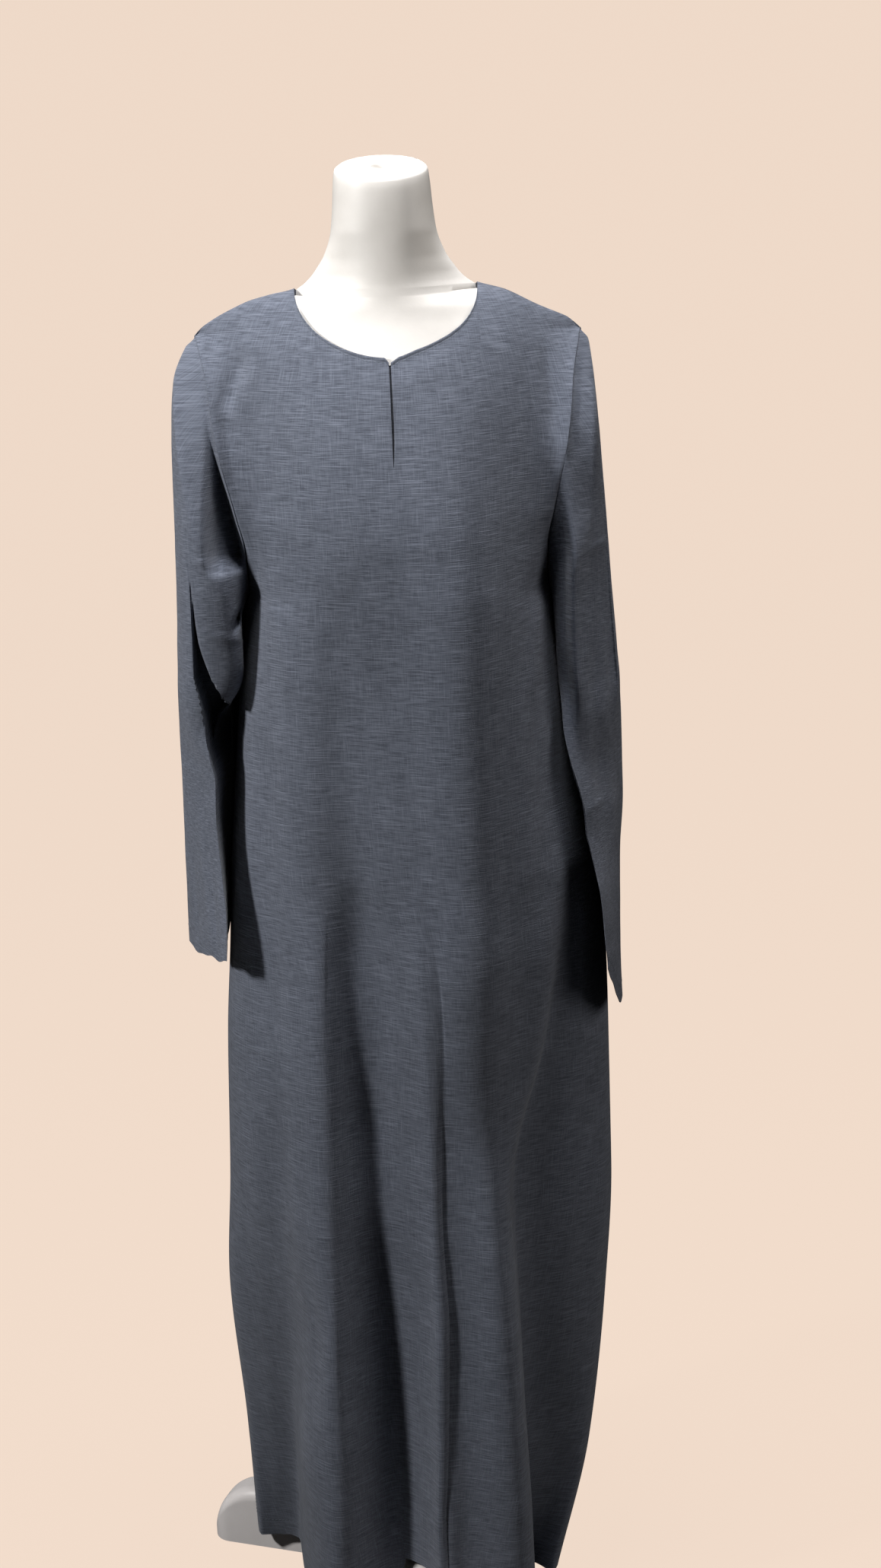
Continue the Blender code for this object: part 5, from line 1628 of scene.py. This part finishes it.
def thread_material(name):
    """Twisted sewing thread, a little lighter than the cloth."""
    made, tree, shader = new_material(name)
    place = add(tree, "ShaderNodeTexCoord")
    twist = add(tree, "ShaderNodeTexWave", {"Vector": place.outputs["Object"], "Scale": TWISTS,
                                            "Distortion": 1.0}, bands_direction="DIAGONAL")
    tree.links.new(mixed(tree, twist.outputs["Fac"], THREAD_DARK, THREAD_LIGHT),
                   shader.inputs["Base Color"])
    shader.inputs["Roughness"].default_value = THREAD_ROUGH
    return made


# The stage: its own colour, the colour and strength it glows with, how far back its backdrop
# stands, half its width, how far forward and how high it goes, the bend between floor and
# backdrop, and where the bend starts and how many points it has.
FLOOR_COLOUR = (0.030, 0.025, 0.021)
BACKDROP_COLOUR = (0.871, 0.708, 0.591)
FLOOR_GLOW = 0.98
STAGE_BACK = 7.0
STAGE_HALF = 9.0
STAGE_FRONT = -6.0
STAGE_TOP = 7.0
STAGE_BEND = 2.0
BEND_START = 0.1
BEND_POINTS = 14


def stage_material():
    """The floor's and the backdrop's even, pale surface."""
    made, _tree, shader = new_material("pale_floor")
    shader.inputs["Base Color"].default_value = (*FLOOR_COLOUR, 1.0)
    shader.inputs["Roughness"].default_value = 1.0
    shader.inputs["Specular IOR Level"].default_value = 0.0
    shader.inputs["Emission Color"].default_value = (*BACKDROP_COLOUR, 1.0)
    shader.inputs["Emission Strength"].default_value = FLOOR_GLOW
    return made


def make_stage():
    """A pale floor that curves up into a backdrop behind the abaya."""
    bend = STAGE_BEND
    profile = [(STAGE_FRONT, 0.0), (STAGE_BACK - bend, 0.0)]
    profile += [(STAGE_BACK - bend + bend * math.sin(a), bend - bend * math.cos(a))
                for a in np.linspace(BEND_START, math.pi / 2, BEND_POINTS)]
    profile += [(STAGE_BACK, STAGE_TOP)]
    points = []
    for y, z in profile:
        points += [(-STAGE_HALF, y, z), (STAGE_HALF, y, z)]
    faces = [(2 * k, 2 * k + 1, 2 * k + 3, 2 * k + 2) for k in range(len(profile) - 1)]
    mesh = bpy.data.meshes.new("floor_and_backdrop")
    mesh.from_pydata(points, [], faces)
    mesh.shade_smooth()
    mesh.materials.append(stage_material())
    made = bpy.data.objects.new("floor_and_backdrop", mesh)
    made.visible_diffuse = False
    made.visible_glossy = False
    bpy.context.scene.collection.objects.link(made)


# Each light's angle round from the front, with the left as plus, its height in degrees, its
# distance from the cloth, its size, its power and its colour. They aim at one place on the
# chest, and a little light comes from all round.
LIGHTS = (
    ("key_light", 62.0, 25.0, 2.2, 0.25, 48.0, (1.0, 0.985, 0.965)),
    ("fill_light", -68.0, 25.0, 4.0, 2.4, 57.0, (1.0, 0.945, 0.885)),
    ("top_light", 0.0, 85.0, 2.2, 0.6, 66.0, (0.98, 0.98, 1.0)),
)
LIGHTS_AIM = (0.02, -0.05, 1.10)
AIR = (0.95, 0.90, 0.86)
AIR_STRENGTH = 0.02


def area_light(name, place, target, size, power, colour):
    """A round lamp that looks at its target."""
    lamp = bpy.data.lights.new(name, "AREA")
    lamp.shape = "DISK"
    lamp.size = size
    lamp.energy = power
    lamp.color = colour
    made = bpy.data.objects.new(name, lamp)
    made.location = place
    made.rotation_euler = (Vector(target) - Vector(place)).to_track_quat("-Z", "Y").to_euler()
    bpy.context.scene.collection.objects.link(made)


def make_lights():
    """The three lamps, and the air's own faint light."""
    aim = Vector(LIGHTS_AIM)
    for name, azimuth, height, distance, size, power, colour in LIGHTS:
        turn = math.radians(azimuth)
        rise = math.radians(height)
        towards = Vector((-math.sin(turn) * math.cos(rise), -math.cos(turn) * math.cos(rise),
                          math.sin(rise)))
        area_light(name, aim + distance * towards, aim, size, power, colour)
    world = bpy.data.worlds.new("studio_air")
    world.use_nodes = True
    world.node_tree.nodes["Background"].inputs[0].default_value = (*AIR, 1.0)
    world.node_tree.nodes["Background"].inputs[1].default_value = AIR_STRENGTH
    bpy.context.scene.world = world


# The camera, worked out from the photo's perspective, in metres and degrees.
CAMERA_PLACE = (0.035, -2.530, 1.650)
CAMERA_PITCH = 16.0
CAMERA_YAW = 0.78
CAMERA_ROLL = 2.3
CAMERA_LENS = 57.55
CAMERA_FILM = 36.0
CAMERA_NEAR = 0.05
CAMERA_FAR = 60.0


def make_camera():
    """The photo's camera."""
    lens = bpy.data.cameras.new("photo_camera")
    lens.lens = CAMERA_LENS
    lens.sensor_width = CAMERA_FILM
    lens.sensor_fit = "AUTO"
    lens.clip_start = CAMERA_NEAR
    lens.clip_end = CAMERA_FAR
    made = bpy.data.objects.new("photo_camera", lens)
    pitch, yaw, roll = (math.radians(a) for a in (CAMERA_PITCH, CAMERA_YAW, CAMERA_ROLL))
    ahead = Vector((math.sin(yaw) * math.cos(pitch), math.cos(yaw) * math.cos(pitch),
                    -math.sin(pitch)))
    right = Vector((math.cos(yaw), -math.sin(yaw), 0.0))
    up = right.cross(ahead)
    rolled_right = right * math.cos(roll) - up * math.sin(roll)
    rolled_up = up * math.cos(roll) + right * math.sin(roll)
    turned = Matrix((rolled_right, rolled_up, -ahead)).transposed().to_4x4()
    made.matrix_world = Matrix.Translation(CAMERA_PLACE) @ turned
    bpy.context.scene.collection.objects.link(made)
    bpy.context.scene.camera = made


# How far in from its edge each line of stitches runs, how far inside the shoulder points the
# neck's line ends, and how many columns it leaves out on each side of the slit.
HEM_TURNING = 0.022
CUFF_TURNING = 0.018
NECK_TURNING = 0.0052
NECK_END = 0.001
SLIT_LEFT_OUT = (2, 5)


# facing is the near-black cloth whose colour is painted shade for the inside of the slit.
def make_abaya(cloth, facing, thread):
    """The four panels with their stitching, and the facing behind the slit."""
    front, front_out, _front_in, centre = make_front(cloth)
    back, back_out, _back_in = make_back(cloth)
    front_face = normals_of(front_out)
    back_face = -normals_of(back_out)
    hems = [line_beside_edge(front_out, front_face, HEM_TURNING),
            line_beside_edge(back_out, back_face, HEM_TURNING)]
    hem = stitches("hem_stitching", hems, thread)
    neck = []
    for grid, face in ((front_out, front_face), (back_out, back_face)):
        at_top = np.abs(grid[TOP, :, 0])
        inside = np.nonzero(at_top < NECK_HALF_WIDTH - NECK_END)[0]
        line, out = line_beside_edge(grid[::-1, inside], face[::-1, inside], NECK_TURNING)
        if grid is front_out:
            split = int(np.argmin(np.abs(line[:, 0])))
            stop, start = split - SLIT_LEFT_OUT[0], split + SLIT_LEFT_OUT[1]
            neck += [(line[:stop], out[:stop]), (line[start:], out[start:])]
        else:
            neck.append((line, out))
    neck_line = stitches("neck_stitching", neck, thread)
    slit = make_slit_facing(front_out, centre, facing)
    sleeves = {}
    for name, column in (("right", 0), ("left", -1)):
        ring = ring_round(front_out, back_out, column)
        piece, grid, inward = make_sleeve(name, ring, cloth)
        closed = np.concatenate([grid, grid[:, :1]], axis=1)
        out = -np.concatenate([inward, inward[:, :1]], axis=1)
        cuff = stitches(name + "_cuff_stitching",
                        [line_beside_edge(closed[::-1], out[::-1], CUFF_TURNING)], thread)
        sleeves[name] = (piece, cuff)
    return front, back, hem, neck_line, slit, sleeves


# The facing's two near-black colours, painted shade for the inside of the slit, each moulding's
# two and how rough it is, and how much sheen the cloth and the facing have.
SLIT_SHADE_DARK = (0.006, 0.007, 0.011)
SLIT_SHADE_LIGHT = (0.022, 0.024, 0.032)
SHELL_DARK = (0.62, 0.595, 0.560)
SHELL_LIGHT = (0.67, 0.645, 0.610)
SHELL_ROUGH = 0.52
PLASTIC_DARK = (0.83, 0.79, 0.78)
PLASTIC_LIGHT = (0.88, 0.84, 0.83)
PLASTIC_ROUGH = 0.46
CLOTH_SHEEN = 0.18
FACING_SHEEN = 0.05


def main():
    """The whole scene: materials, pieces, what they ride on and replace, stage and camera."""
    weave = slub_weave_group()
    grain = moulded_grain_group()
    cloth = cloth_material("slub_cloth", weave, YARN_DARK, YARN_LIGHT, CLOTH_SHEEN)
    # The facing's cloth is coloured near black: painted shade for the inside of the slit.
    facing = cloth_material("slit_shade_cloth", weave, SLIT_SHADE_DARK, SLIT_SHADE_LIGHT, FACING_SHEEN)
    shell = moulded_material("form_shell", grain, SHELL_DARK, SHELL_LIGHT, SHELL_ROUGH)
    plastic = moulded_material("base_plastic", grain, PLASTIC_DARK, PLASTIC_LIGHT, PLASTIC_ROUGH)
    steel = steel_material("pole_steel")
    thread = thread_material("sewing_thread")

    front, back, hem, neck_line, slit, sleeves = make_abaya(cloth, facing, thread)
    form = make_form_skin(shell)
    base = make_base_moulding(plastic)
    for slot in bpy.data.objects["pole"].material_slots:
        slot.material = steel

    right, right_cuff = sleeves["right"]
    left, left_cuff = sleeves["left"]
    for piece, node in ((front, "front"), (back, "back"), (right, "sleeve_right"),
                        (left, "sleeve_left"), (form, "dress_form"), (base, "base")):
        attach(piece, "root")
        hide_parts(node)
    for piece in (hem, neck_line, slit, right_cuff, left_cuff):
        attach(piece, "root")
    make_stage()
    make_lights()
    make_camera()
    bpy.context.scene.view_settings.view_transform = "Standard"


main()
